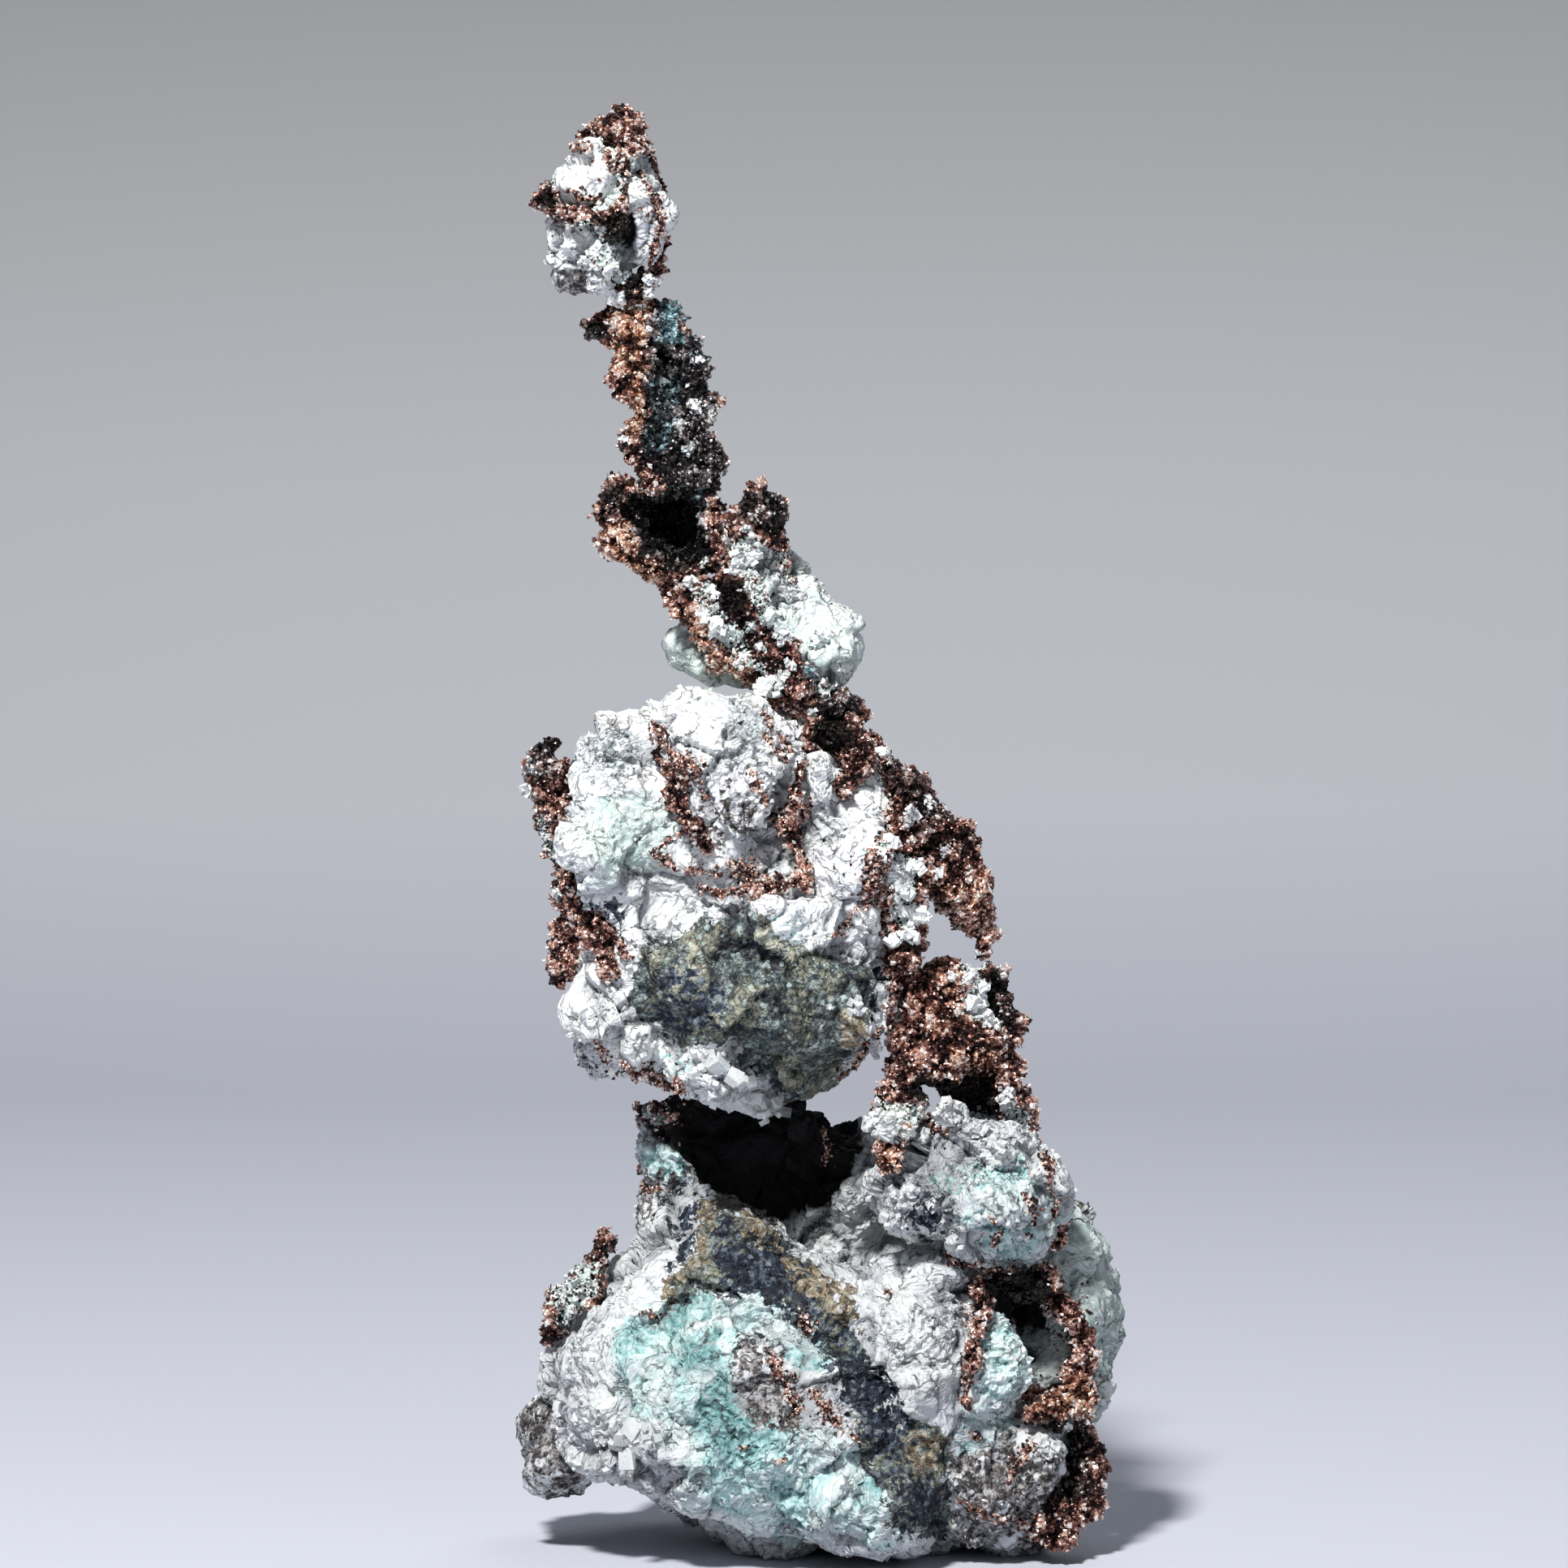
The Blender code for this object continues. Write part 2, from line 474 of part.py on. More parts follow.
def lay_on_face(rock, vein):
    """Gives each point of a vein the depth of the rock's face there, a little sunk."""
    face = surface_of(rock)
    before = -40.0
    sunk = 0.1
    ahead = Vector((0, 1, 0))
    branch = []
    for x, z, radius in vein:
        hit = face.ray_cast(Vector((x, before, z)) * MM, ahead)[0]
        branch.append((x, hit.y / MM + sunk, z, radius))
    return [branch]


def add_ground_cutter(collection):
    """A block whose top is the flat break that the specimen stands on."""
    size = Matrix.Diagonal((GROUND_WIDTH * MM, GROUND_WIDTH * MM, GROUND_DEPTH * MM, 1.0))
    place = Matrix.Translation((0.0, 0.0, -0.5 * GROUND_DEPTH * MM)) @ size
    block = bmesh.new()
    bmesh.ops.create_cube(block, size=1.0, matrix=place)
    mesh = bpy.data.meshes.new("ground_clearance")
    block.to_mesh(mesh)
    block.free()
    cutter = add_object("ground_clearance", mesh, collection)
    cutter.hide_render = True
    cutter.display_type = "WIRE"
    return cutter


def centre_footprint(collection):
    """Puts the middle of the specimen's box over the origin."""
    places = [v.co for obj in collection.objects for v in obj.data.vertices]
    middle = [0.5 * (min(p[i] for p in places) + max(p[i] for p in places)) for i in range(2)]
    for obj in collection.objects:
        obj.data.transform(Matrix.Translation((-middle[0], -middle[1], 0.0)))


def build():
    clear_scene()
    specimen = make_collection("native_copper_specimen")
    clearances = make_collection("clearances")
    white = make_material("white_matrix", WHITE, 0.55, 0.0)
    green = make_material("pale_green_matrix", PALE_GREEN, 0.45, 0.0)
    metal = make_material("native_copper", COPPER, 0.35, 1.0)

    rocks = {name: make_rock(name, lumps, specimen) for name, (lumps, _) in ROCKS.items()}
    branches = {name: paths for name, (paths, _) in PIECES.items()}
    counts = {name: count for name, (_, count) in PIECES.items()}
    for name, (vein, count) in FACE_PIECES.items():
        branches[name] = lay_on_face(rocks["middle_rock"], vein)
        counts[name] = count

    ground = add_ground_cutter(clearances)
    copper_cutters = []
    rock_cutters = []
    for seed, name in enumerate(branches):
        copper = make_copper(name, branches[name], seed, specimen)
        make_room(copper, copper_cutters, COPPER_VOXEL)
        copper_cutters.append(add_cutter(copper, COPPER_CLEARANCE, clearances))
        rock_cutters.append(add_cutter(copper, ROCK_CLEARANCE, clearances))
        coarsen(copper, counts[name], ground, metal)

    for name, (_, count) in ROCKS.items():
        rock = rocks[name]
        make_room(rock, rock_cutters, ROCK_VOXEL)
        rock_cutters.append(add_cutter(rock, ROCK_CLEARANCE, clearances))
        coarsen(rock, count, ground, green if name in GREEN_ROCKS else white)
    centre_footprint(specimen)


build()
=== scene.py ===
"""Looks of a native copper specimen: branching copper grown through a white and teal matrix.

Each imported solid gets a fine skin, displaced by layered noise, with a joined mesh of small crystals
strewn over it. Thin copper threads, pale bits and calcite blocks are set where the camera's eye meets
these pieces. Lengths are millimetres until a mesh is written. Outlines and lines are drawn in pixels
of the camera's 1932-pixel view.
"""

import itertools
import math
from collections import namedtuple

import bmesh
import bpy
import numpy as np
from mathutils import Vector
from mathutils.bvhtree import BVHTree
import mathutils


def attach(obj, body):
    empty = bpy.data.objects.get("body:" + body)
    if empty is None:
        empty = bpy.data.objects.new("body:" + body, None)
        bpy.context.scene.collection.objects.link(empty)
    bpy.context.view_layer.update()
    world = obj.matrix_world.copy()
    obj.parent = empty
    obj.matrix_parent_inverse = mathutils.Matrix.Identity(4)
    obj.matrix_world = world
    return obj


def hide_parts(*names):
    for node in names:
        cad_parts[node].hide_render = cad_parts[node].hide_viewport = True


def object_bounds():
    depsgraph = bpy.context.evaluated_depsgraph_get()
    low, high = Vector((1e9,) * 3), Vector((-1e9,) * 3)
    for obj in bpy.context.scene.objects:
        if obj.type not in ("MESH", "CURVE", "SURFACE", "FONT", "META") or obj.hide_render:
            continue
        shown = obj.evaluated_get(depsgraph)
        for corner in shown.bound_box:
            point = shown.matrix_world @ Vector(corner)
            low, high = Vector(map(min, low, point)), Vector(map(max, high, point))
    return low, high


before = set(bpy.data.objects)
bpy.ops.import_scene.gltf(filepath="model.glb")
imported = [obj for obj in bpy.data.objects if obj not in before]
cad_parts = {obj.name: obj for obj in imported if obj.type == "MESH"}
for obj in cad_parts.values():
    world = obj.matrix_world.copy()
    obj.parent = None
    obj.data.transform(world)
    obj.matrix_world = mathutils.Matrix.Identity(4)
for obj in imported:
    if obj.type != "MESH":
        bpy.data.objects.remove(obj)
CAD_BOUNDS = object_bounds()

MM = 0.001
BODY = "root"
FLOOR_LIFT = 0.02  # lowest that any point of the specimen may lie
BOX_SLACK = 0.4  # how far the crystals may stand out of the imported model's box

# ---------------------------------------------------------------- camera, in the frame's millimetres
IMAGE = 1932.0
ELEVATION = math.radians(3.0)
DISTANCE = 500.0
TARGET = np.array((-2.79, 0.0, 57.2))
SENSOR = 36.0
LENS = 153.7
PIXELS = LENS / SENSOR * IMAGE
FORWARD = np.array((0.0, math.cos(ELEVATION), -math.sin(ELEVATION)))
UPWARD = np.array((0.0, math.sin(ELEVATION), math.cos(ELEVATION)))
RIGHT = np.array((1.0, 0.0, 0.0))
EYE = TARGET - DISTANCE * FORWARD


def to_pixels(points):
    """Where points of the specimen lie in the camera's view."""
    rel = points - EYE
    depth = rel @ FORWARD
    return np.stack((IMAGE / 2 + rel[:, 0] / depth * PIXELS,
                     IMAGE / 2 - (rel @ UPWARD) / depth * PIXELS), axis=1)


def sight_line(px, py):
    """Direction from the eye through a pixel."""
    ray = FORWARD + RIGHT * (px - IMAGE / 2) / PIXELS - UPWARD * (py - IMAGE / 2) / PIXELS
    return ray / np.linalg.norm(ray)


# ---------------------------------------------------------------- noise on arrays of points
AXIS_PRIMES = (0x8DA6B343, 0xD8163841, 0xCB1AB31F)
SEED_PRIME = 0x9E3779B1
MIXERS = (0x2C1B3C6D, 0x297A2D39)
WORD = 0xFFFFFFFF
SWELL_GAIN = 1.4  # brings the noise to about -1 to 1
ROUGH_GAIN = 1.5
AXIS_SEED, OCTAVE_SEED, SHIFT_SEED = 11, 101, 7  # between the seeds of noises that belong together
SPECK_GRID = 97  # cells a millimetre
TIP_FACTORS = (113.1, 271.7, 419.3)  # make three unrelated numbers of one


def hashed(cell, seed):
    """One number from 0 to 1 for each lattice cell."""
    c = cell.astype(np.uint32)
    h = np.zeros(len(c), np.uint32)
    for axis, prime in enumerate(AXIS_PRIMES):
        h ^= c[:, axis] * np.uint32(prime)
    h ^= np.uint32((seed * SEED_PRIME) & WORD)
    for shift, mixer in zip((15, 12), MIXERS):
        h ^= h >> np.uint32(shift)
        h *= np.uint32(mixer)
    h ^= h >> np.uint32(15)
    return h.astype(np.float64) / (WORD + 1)


def swell(points, size, seed):
    """Smooth gradient noise, about -1 to 1, with features of this size."""
    p = points / size
    base = np.floor(p).astype(np.int64)
    f = p - base
    w = f * f * f * (f * (f * 6 - 15) + 10)
    total = np.zeros(len(p))
    for corner in itertools.product((0, 1), repeat=3):
        c = np.array(corner)
        cell = base + c
        weight = np.prod(np.where(c == 1, w, 1 - w), axis=1)
        slopes = [hashed(cell, seed + AXIS_SEED * a) * 2 - 1 for a in range(3)]
        total += weight * sum(slopes[a] * (f[:, a] - c[a]) for a in range(3))
    return total * SWELL_GAIN


def rough(points, size, seed, octaves=4, gain=0.5):
    """Noise summed over octaves, about -1 to 1."""
    total = np.zeros(len(points))
    amount = 1.0
    reach = 0.0
    for octave in range(octaves):
        total += amount * swell(points, size, seed + OCTAVE_SEED * octave)
        reach += amount
        amount *= gain
        size *= 0.5
    return total / reach * ROUGH_GAIN


def warped(points, size, amount, seed):
    """The points shifted about by smooth noise."""
    shifts = [swell(points, size, seed + SHIFT_SEED * a) for a in range(3)]
    return points + amount * np.stack(shifts, axis=1)


def cells(points, size, seed):
    """Distance to the nearest and second random site, the way from the nearest, and its own number."""
    p = points / size
    base = np.floor(p).astype(np.int64)
    f = p - base
    near = np.full(len(p), np.inf)
    second = near.copy()
    away = np.zeros_like(p)
    tag = np.zeros(len(p))
    for shift in itertools.product((-1, 0, 1), repeat=3):
        cell = base + np.array(shift)
        site = np.stack([hashed(cell, seed + a) for a in range(3)], axis=1) + shift - f
        d = np.sqrt((site ** 2).sum(axis=1))
        closer = d < near
        second = np.where(closer, near, np.minimum(second, d))
        near = np.where(closer, d, near)
        away[closer] = -site[closer]
        tag = np.where(closer, hashed(cell, seed + 3), tag)
    return near, second, away, tag


def step(low, high, value):
    """Smooth step from 0 at low to 1 at high."""
    t = np.clip((value - low) / (high - low), 0.0, 1.0)
    return t * t * (3 - 2 * t)


def specks(points, seed):
    """An unrelated number from -0.5 to 0.5 for each point."""
    return hashed(np.floor(points * SPECK_GRID).astype(np.int64), seed) - 0.5


# A layer of broken blocks: size of a block; size, amount and seed of the noise that bends the blocks;
# seed; how far a block bulges, and the distance from its middle where that turns inwards; how much its
# height differs from the next; how steeply its face is tipped; how wide the cracks are, as a share of
# a block's size, and how deep.
Layer = namedtuple("Layer", "size bend seed bulge turn jump tip crack groove", defaults=(1.0, 0.0))


def broken(points, layer):
    """Height of a layer of broken blocks, and 1 in its cracks."""
    near, second, away, tag = cells(warped(points, *layer.bend), layer.size, layer.seed)
    tip = np.stack([np.modf(tag * k)[0] * 2 - 1 for k in TIP_FACTORS], axis=1)
    tipped = layer.tip * (away * tip).sum(axis=1)
    height = layer.bulge * (layer.turn - near) + layer.jump * (tag - 0.5) + tipped
    return height, 1 - step(0.0, layer.crack, second - near)


# ---------------------------------------------------------------- patches, drawn in the view's pixels
def in_outline(pixels, outline, soft):
    """1 inside a closed outline, 0 outside, over a soft edge."""
    ring = np.array(outline, float)
    x, y = pixels[:, 0], pixels[:, 1]
    inside = np.zeros(len(x), bool)
    nearest = np.full(len(x), np.inf)
    for a, b in zip(ring, np.roll(ring, -1, axis=0)):
        edge = b - a
        t = np.clip(((x - a[0]) * edge[0] + (y - a[1]) * edge[1]) / (edge @ edge), 0, 1)
        nearest = np.minimum(nearest, np.hypot(x - a[0] - t * edge[0], y - a[1] - t * edge[1]))
        crosses = (a[1] > y) != (b[1] > y)
        rise = np.where(b[1] == a[1], 1e-9, b[1] - a[1])
        inside ^= crosses & (x < a[0] + (y - a[1]) * (b[0] - a[0]) / rise)
    return step(-soft, soft, np.where(inside, nearest, -nearest))


# Outlines of the coloured areas on the front: (outline, soft edge, strength)
AREAS = {
    "teal": [
        ([(752, 1640), (800, 1600), (880, 1590), (915, 1640), (905, 1720), (850, 1775),
          (770, 1750)], 16, 0.8),
        ([(885, 1600), (960, 1575), (1030, 1600), (1060, 1680), (1000, 1690), (900, 1650)], 16, 0.75),
        ([(820, 1770), (900, 1730), (1000, 1760), (1060, 1780), (1115, 1830), (1110, 1900), (960, 1885),
          (850, 1850)], 18, 0.95),
        ([(1195, 1640), (1230, 1622), (1268, 1650), (1272, 1720), (1235, 1742), (1200, 1715)], 10, 0.75),
        ([(1170, 1720), (1260, 1730), (1255, 1785), (1180, 1790)], 14, 0.5),
        ([(1210, 1440), (1280, 1440), (1300, 1500), (1280, 1560), (1225, 1555), (1190, 1500)], 14, 0.75),
        ([(1130, 1430), (1210, 1430), (1200, 1470), (1130, 1470)], 12, 0.35),
        ([(785, 1410), (835, 1405), (850, 1460), (800, 1465)], 10, 0.8),
        ([(938, 1128), (975, 1132), (990, 1175), (958, 1180)], 8, 0.8),
        ([(800, 1290), (860, 1300), (850, 1330), (800, 1320)], 10, 0.4),
        ([(995, 1285), (1030, 1290), (1010, 1330), (985, 1325)], 8, 0.35),
        ([(1060, 1040), (1100, 1040), (1120, 1130), (1085, 1130)], 12, 0.35),
    ],
    "green": [
        ([(712, 1010), (760, 970), (820, 985), (835, 1040), (800, 1085), (740, 1080)], 16, 0.85),
        ([(1300, 1490), (1360, 1510), (1392, 1600), (1380, 1700), (1330, 1720), (1290, 1640)], 20, 0.8),
        ([(960, 730), (1075, 730), (1075, 850), (960, 850)], 20, 0.6),
        ([(825, 780), (925, 790), (930, 860), (830, 850)], 12, 0.8),
        ([(700, 1690), (770, 1640), (800, 1700), (740, 1760)], 20, 0.35),
        ([(840, 860), (920, 850), (960, 900), (900, 960), (850, 930)], 20, 0.25),
    ],
    "olive": [
        ([(781, 1187), (816, 1158), (900, 1128), (945, 1128), (969, 1164), (1016, 1181), (1075, 1175),
          (1085, 1222), (1060, 1275), (1025, 1335), (975, 1360), (938, 1335), (900, 1290), (830, 1290),
          (790, 1262), (769, 1228)], 10, 1.0),
        ([(870, 1470), (935, 1500), (1000, 1560), (1050, 1640), (1075, 1720), (1120, 1760), (1165, 1800),
          (1170, 1880), (1110, 1890), (1060, 1800), (1035, 1700), (985, 1610), (900, 1590), (850, 1600),
          (820, 1610), (850, 1540)], 10, 0.95),
        ([(1105, 1745), (1150, 1750), (1175, 1800), (1150, 1850), (1105, 1830)], 8, 1.0),
    ],
    "navy": [
        ([(870, 1470), (905, 1475), (965, 1530), (1015, 1590), (1075, 1660), (1135, 1760), (1175, 1850),
          (1165, 1895), (1105, 1890), (1055, 1790), (1025, 1700), (970, 1625), (900, 1565),
          (858, 1520)], 12, 0.44),
        ([(830, 1490), (870, 1480), (860, 1560), (825, 1590)], 8, 0.6),
        ([(800, 1195), (850, 1175), (890, 1210), (880, 1262), (830, 1280), (795, 1245)], 14, 0.6),
        ([(885, 1545), (940, 1535), (1000, 1560), (1010, 1600), (940, 1600), (890, 1590)], 10, 1.0),
        ([(1040, 1660), (1070, 1680), (1120, 1745), (1110, 1790), (1065, 1780), (1040, 1720)], 8, 1.0),
        ([(1120, 1820), (1165, 1830), (1160, 1885), (1120, 1880)], 10, 0.9),
        ([(850, 1475), (890, 1490), (880, 1540), (845, 1530)], 10, 0.5),
        ([(1125, 1470), (1165, 1480), (1160, 1525), (1115, 1515)], 12, 0.75),
        ([(1085, 1185), (1105, 1190), (1090, 1250), (1070, 1245)], 8, 0.6),
        ([(730, 1100), (770, 1110), (760, 1170), (735, 1150)], 10, 0.45),
    ],
    "ochre": [
        ([(1043, 1240), (1060, 1240), (1062, 1300), (1045, 1300)], 6, 1.0),
        ([(875, 1468), (905, 1480), (860, 1560), (830, 1620), (818, 1610), (845, 1545)], 8, 0.78),
        ([(905, 1490), (960, 1500), (960, 1540), (920, 1530)], 8, 0.62),
        ([(960, 1535), (1000, 1560), (1062, 1620), (1050, 1640), (1000, 1600)], 8, 0.72),
        ([(1115, 1760), (1165, 1770), (1160, 1815), (1115, 1810)], 8, 0.7),
        ([(680, 1010), (700, 1015), (695, 1050), (680, 1040)], 6, 0.6),
    ],
    "slate": [
        ([(722, 912), (780, 905), (802, 940), (765, 958), (720, 948)], 14, 0.58),
        ([(690, 1060), (740, 1080), (745, 1130), (700, 1120)], 12, 0.4),
        ([(790, 1400), (850, 1400), (860, 1470), (800, 1480)], 12, 0.6),
        ([(1120, 1470), (1180, 1470), (1190, 1530), (1110, 1530)], 14, 0.5),
        ([(960, 1120), (1000, 1130), (1000, 1180), (960, 1170)], 10, 0.5),
        ([(1240, 1430), (1290, 1470), (1300, 1540), (1250, 1560)], 14, 0.5),
    ],
    "grey": [
        ([(905, 1660), (960, 1650), (990, 1700), (1000, 1760), (930, 1765), (895, 1720)], 12, 0.66),
        ([(860, 980), (920, 960), (960, 1010), (930, 1060), (880, 1040)], 20, 0.35),
        # lower right: grey rock, partly painted shade
        ([(1170, 1790), (1250, 1770), (1300, 1790), (1340, 1830), (1320, 1900), (1190, 1900)], 18, 0.72),
        ([(630, 1720), (664, 1700), (690, 1770), (722, 1840), (680, 1850), (630, 1790)], 10, 0.8),
        ([(770, 1450), (850, 1440), (850, 1500), (790, 1540)], 16, 0.4),
        ([(700, 1290), (740, 1310), (740, 1335), (715, 1330)], 10, 0.5),
        ([(683, 330), (730, 330), (735, 378), (700, 375)], 6, 0.9),
        ([(1100, 1830), (1180, 1830), (1180, 1890), (1100, 1890)], 16, 0.6),
    ],
    # black: painted shade, near black, for the deep hollow under the middle rock, the nodule's cast shadow
    # and dark recesses at the tip and lower right
    "black": [
        ([(772, 1290), (1066, 1290), (1064, 1400), (1015, 1480), (962, 1505), (880, 1478), (850, 1440),
          (800, 1400), (776, 1370)], 10, 1.0),
        ([(1215, 1560), (1290, 1560), (1290, 1640), (1250, 1640), (1215, 1600)], 8, 0.85),
        ([(735, 268), (778, 262), (780, 308), (745, 310)], 6, 1.0),
        ([(1300, 1830), (1340, 1830), (1330, 1900), (1290, 1870)], 10, 0.8),
    ],
}
ROCK_SEED = 900
FRONT_EDGE = (1.0, 4.0)  # y, in mm, over which the front's areas fade out towards the back
HOLLOW_EDGE = (8.0, 11.0)  # the same for the black hollow, whose near-black is painted shade
RAGGED = 24.0  # how far the edge of an area wanders, in pixels
WANDER = (3.0, 5, 0.68)  # the noise that moves it: size in mm, octaves, gain

# Noise patches of the hidden side: (strength, where a patch starts, where it is full, size in mm, seed)
LOW_PATCHES = {"teal": (0.8, 0.05, 0.35, 13, 77)}
LOW_TOP = (18, 34)  # z, in mm, over which these fade out upwards
ROCK_PATCHES = {
    "green": (0.7, 0.1, 0.4, 11, 78),
    "olive": (0.9, 0.25, 0.40, 12, 79),
    "ochre": (0.8, 0.34, 0.5, 7, 80),
    "grey": (0.6, 0.15, 0.45, 9, 81),
}


def drawn_areas(points, areas, edge, seed):
    """How much of each drawn area lies at these points; their edges wander, and they fade out behind."""
    front = 1 - step(*edge, points[:, 1])
    size, octaves, gain = WANDER
    wander = np.stack([rough(points, size, seed + a, octaves, gain) for a in range(2)], axis=1) * RAGGED
    pixels = to_pixels(points) + wander
    masks = {}
    for name, outlines in areas.items():
        value = np.zeros(len(points))
        for outline, soft, strength in outlines:
            value = np.maximum(value, strength * in_outline(pixels, outline, soft))
        masks[name] = value * front
    return masks, 1 - front


def add_patches(masks, points, behind, patches):
    """Adds noise patches on the hidden side to the masks."""
    for name, (strength, start, full, size, seed) in patches.items():
        masks[name] += behind * strength * step(start, full, rough(points, size, seed))


def rock_tints(points, shaded):
    """The coloured areas of the matrix at these points; the painted shade of the black hollow only where
    shaded is true.
    """
    masks, behind = drawn_areas(points, AREAS, FRONT_EDGE, ROCK_SEED)
    hollow, _ = drawn_areas(points, {"black": AREAS["black"]}, HOLLOW_EDGE, ROCK_SEED)
    masks["black"] = hollow["black"] * shaded
    add_patches(masks, points, behind * (1 - step(*LOW_TOP, points[:, 2])), LOW_PATCHES)
    add_patches(masks, points, behind, ROCK_PATCHES)
    return masks


# ---------------------------------------------------------------- meshes as arrays
class Shell:
    """Vertices in millimetres, loops, face sizes and one number a vertex for each attribute."""

    def __init__(self, points, loops, totals, soft=False, **values):
        self.points = points
        self.loops = loops
        self.totals = totals
        self.soft = np.full(len(totals), soft) if isinstance(soft, bool) else soft
        self.values = values


def joined(shells):
    """Several shells as one; an empty place in the list is passed over."""
    shells = [s for s in shells if s is not None]
    names = sorted({name for s in shells for name in s.values})
    starts = np.cumsum([0] + [len(s.points) for s in shells[:-1]])
    return Shell(
        np.concatenate([s.points for s in shells]),
        np.concatenate([s.loops + start for s, start in zip(shells, starts)]),
        np.concatenate([s.totals for s in shells]),
        np.concatenate([s.soft for s in shells]),
        **{n: np.concatenate([s.values.get(n, np.zeros(len(s.points))) for s in shells]) for n in names},
    )


def first_loops(totals):
    """Where each face's loops start."""
    return np.concatenate(([0], np.cumsum(totals)[:-1]))


def linked(name, data):
    """A new object in the scene."""
    thing = bpy.data.objects.new(name, data)
    bpy.context.scene.collection.objects.link(thing)
    return thing


LOW_CORNER = np.array(CAD_BOUNDS[0]) / MM - BOX_SLACK
HIGH_CORNER = np.array(CAD_BOUNDS[1]) / MM + BOX_SLACK


def written(name, shell, material, nodes=()):
    """The shell as an object that rides on the specimen."""
    points = np.clip(shell.points, LOW_CORNER, HIGH_CORNER)
    points[:, 2] = np.maximum(points[:, 2], FLOOR_LIFT)
    mesh = bpy.data.meshes.new(name)
    mesh.vertices.add(len(points))
    mesh.loops.add(len(shell.loops))
    mesh.polygons.add(len(shell.totals))
    mesh.vertices.foreach_set("co", (points * MM).astype(np.float32).ravel())
    mesh.loops.foreach_set("vertex_index", shell.loops.astype(np.int32))
    mesh.polygons.foreach_set("loop_start", first_loops(shell.totals).astype(np.int32))
    mesh.polygons.foreach_set("loop_total", shell.totals.astype(np.int32))
    mesh.polygons.foreach_set("use_smooth", shell.soft)
    mesh.update(calc_edges=True)
    for key, value in shell.values.items():
        layer = mesh.attributes.new(key, "FLOAT", "POINT")
        layer.data.foreach_set("value", np.clip(value, 0, 1).astype(np.float32))
    mesh.materials.append(material)
    piece = linked(name, mesh)
    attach(piece, BODY)
    if nodes:
        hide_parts(*nodes)
    return piece


def read(items, field, kind, each=1):
    """One field of all the items as an array."""
    values = np.empty(len(items) * each, kind)
    items.foreach_get(field, values)
    return values


def skin_of(node, voxel, rounding, relax):
    """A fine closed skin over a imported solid: its points, normals, loops and face sizes."""
    bm = bmesh.new()
    bm.from_mesh(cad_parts[node].data)
    bmesh.ops.remove_doubles(bm, verts=bm.verts, dist=1e-6)
    mesh = bpy.data.meshes.new("skin")
    bm.to_mesh(mesh)
    bm.free()
    mesh.materials.clear()
    obj = linked("skin", mesh)
    if rounding:
        soft = obj.modifiers.new("rounding", "SUBSURF")
        soft.levels = rounding
    fine = obj.modifiers.new("fine", "REMESH")
    fine.mode = "VOXEL"
    fine.voxel_size = voxel * MM
    calm = obj.modifiers.new("calm", "SMOOTH")
    calm.factor = 0.5
    calm.iterations = relax
    depsgraph = bpy.context.evaluated_depsgraph_get()
    result = bpy.data.meshes.new_from_object(obj.evaluated_get(depsgraph), depsgraph=depsgraph)
    points = read(result.vertices, "co", np.float32, 3).reshape(-1, 3).astype(np.float64) / MM
    normals = read(result.vertex_normals, "vector", np.float32, 3).reshape(-1, 3).astype(np.float64)
    loops = read(result.loops, "vertex_index", np.int32)
    totals = read(result.polygons, "loop_total", np.int32)
    bpy.data.objects.remove(obj)
    bpy.data.meshes.remove(mesh)
    bpy.data.meshes.remove(result)
    return points, normals, loops, totals


def face_corners(shell):
    """Triangles of a shell as arrays of points and of their numbers, by a fan over each face."""
    starts = first_loops(shell.totals)
    fans = []
    for k in range(1, int(shell.totals.max()) - 1):
        use = shell.totals > k + 1
        fans.append(np.stack([shell.loops[starts[use] + turn] for turn in (0, k, k + 1)], axis=1))
    tri = np.concatenate(fans)
    return (*(shell.points[tri[:, k]] for k in range(3)), tri)


def strewn(rng, shell, density):
    """Random points over a shell, this many a square mm, with face normals and a vertex close by."""
    a, b, c, tri = face_corners(shell)
    cross = np.cross(b - a, c - a)
    area = np.linalg.norm(cross, axis=1) / 2
    count = int(area.sum() * density)
    pick = np.searchsorted(np.cumsum(area), rng.uniform(0, area.sum(), count))
    pick = np.minimum(pick, len(area) - 1)
    u, v = rng.uniform(0, 1, (2, count))
    flip = u + v > 1
    u[flip], v[flip] = 1 - u[flip], 1 - v[flip]
    points = a[pick] + (b - a)[pick] * u[:, None] + (c - a)[pick] * v[:, None]
    normals = cross[pick] / (np.linalg.norm(cross[pick], axis=1)[:, None] + 1e-12)
    return points, normals, tri[pick, 0]


# ---------------------------------------------------------------- crystals
OCTA_REACH = 1.35
Form = namedtuple("Form", "corners faces")
BLOCK = Form(
    np.array(list(itertools.product((-1, 1), repeat=3)), float),
    np.array([(0, 1, 3, 2), (4, 6, 7, 5), (0, 4, 5, 1), (2, 3, 7, 6), (0, 2, 6, 4), (1, 5, 7, 3)]))
OCTA = Form(
    np.array([(1, 0, 0), (-1, 0, 0), (0, 1, 0), (0, -1, 0), (0, 0, 1), (0, 0, -1)], float) * OCTA_REACH,
    np.array([(0, 2, 4), (2, 1, 4), (1, 3, 4), (3, 0, 4), (2, 0, 5), (1, 2, 5), (3, 1, 5), (0, 3, 5)]))
# How far the corners of a crystal are skewed, and between which factors it is stretched
SUGAR_HABIT = (0.3, (0.6, 1.3))
COPPER_HABIT = (0.3, (0.55, 1.5))
STALK_HABIT = (0.24, (0.8, 1.6))
THREAD_HABIT = (0.24, (0.6, 1.5))
BIT_HABIT = (0.3, (0.5, 1.3))
CALCITE_HABIT = (0.2, (0.55, 1.3))


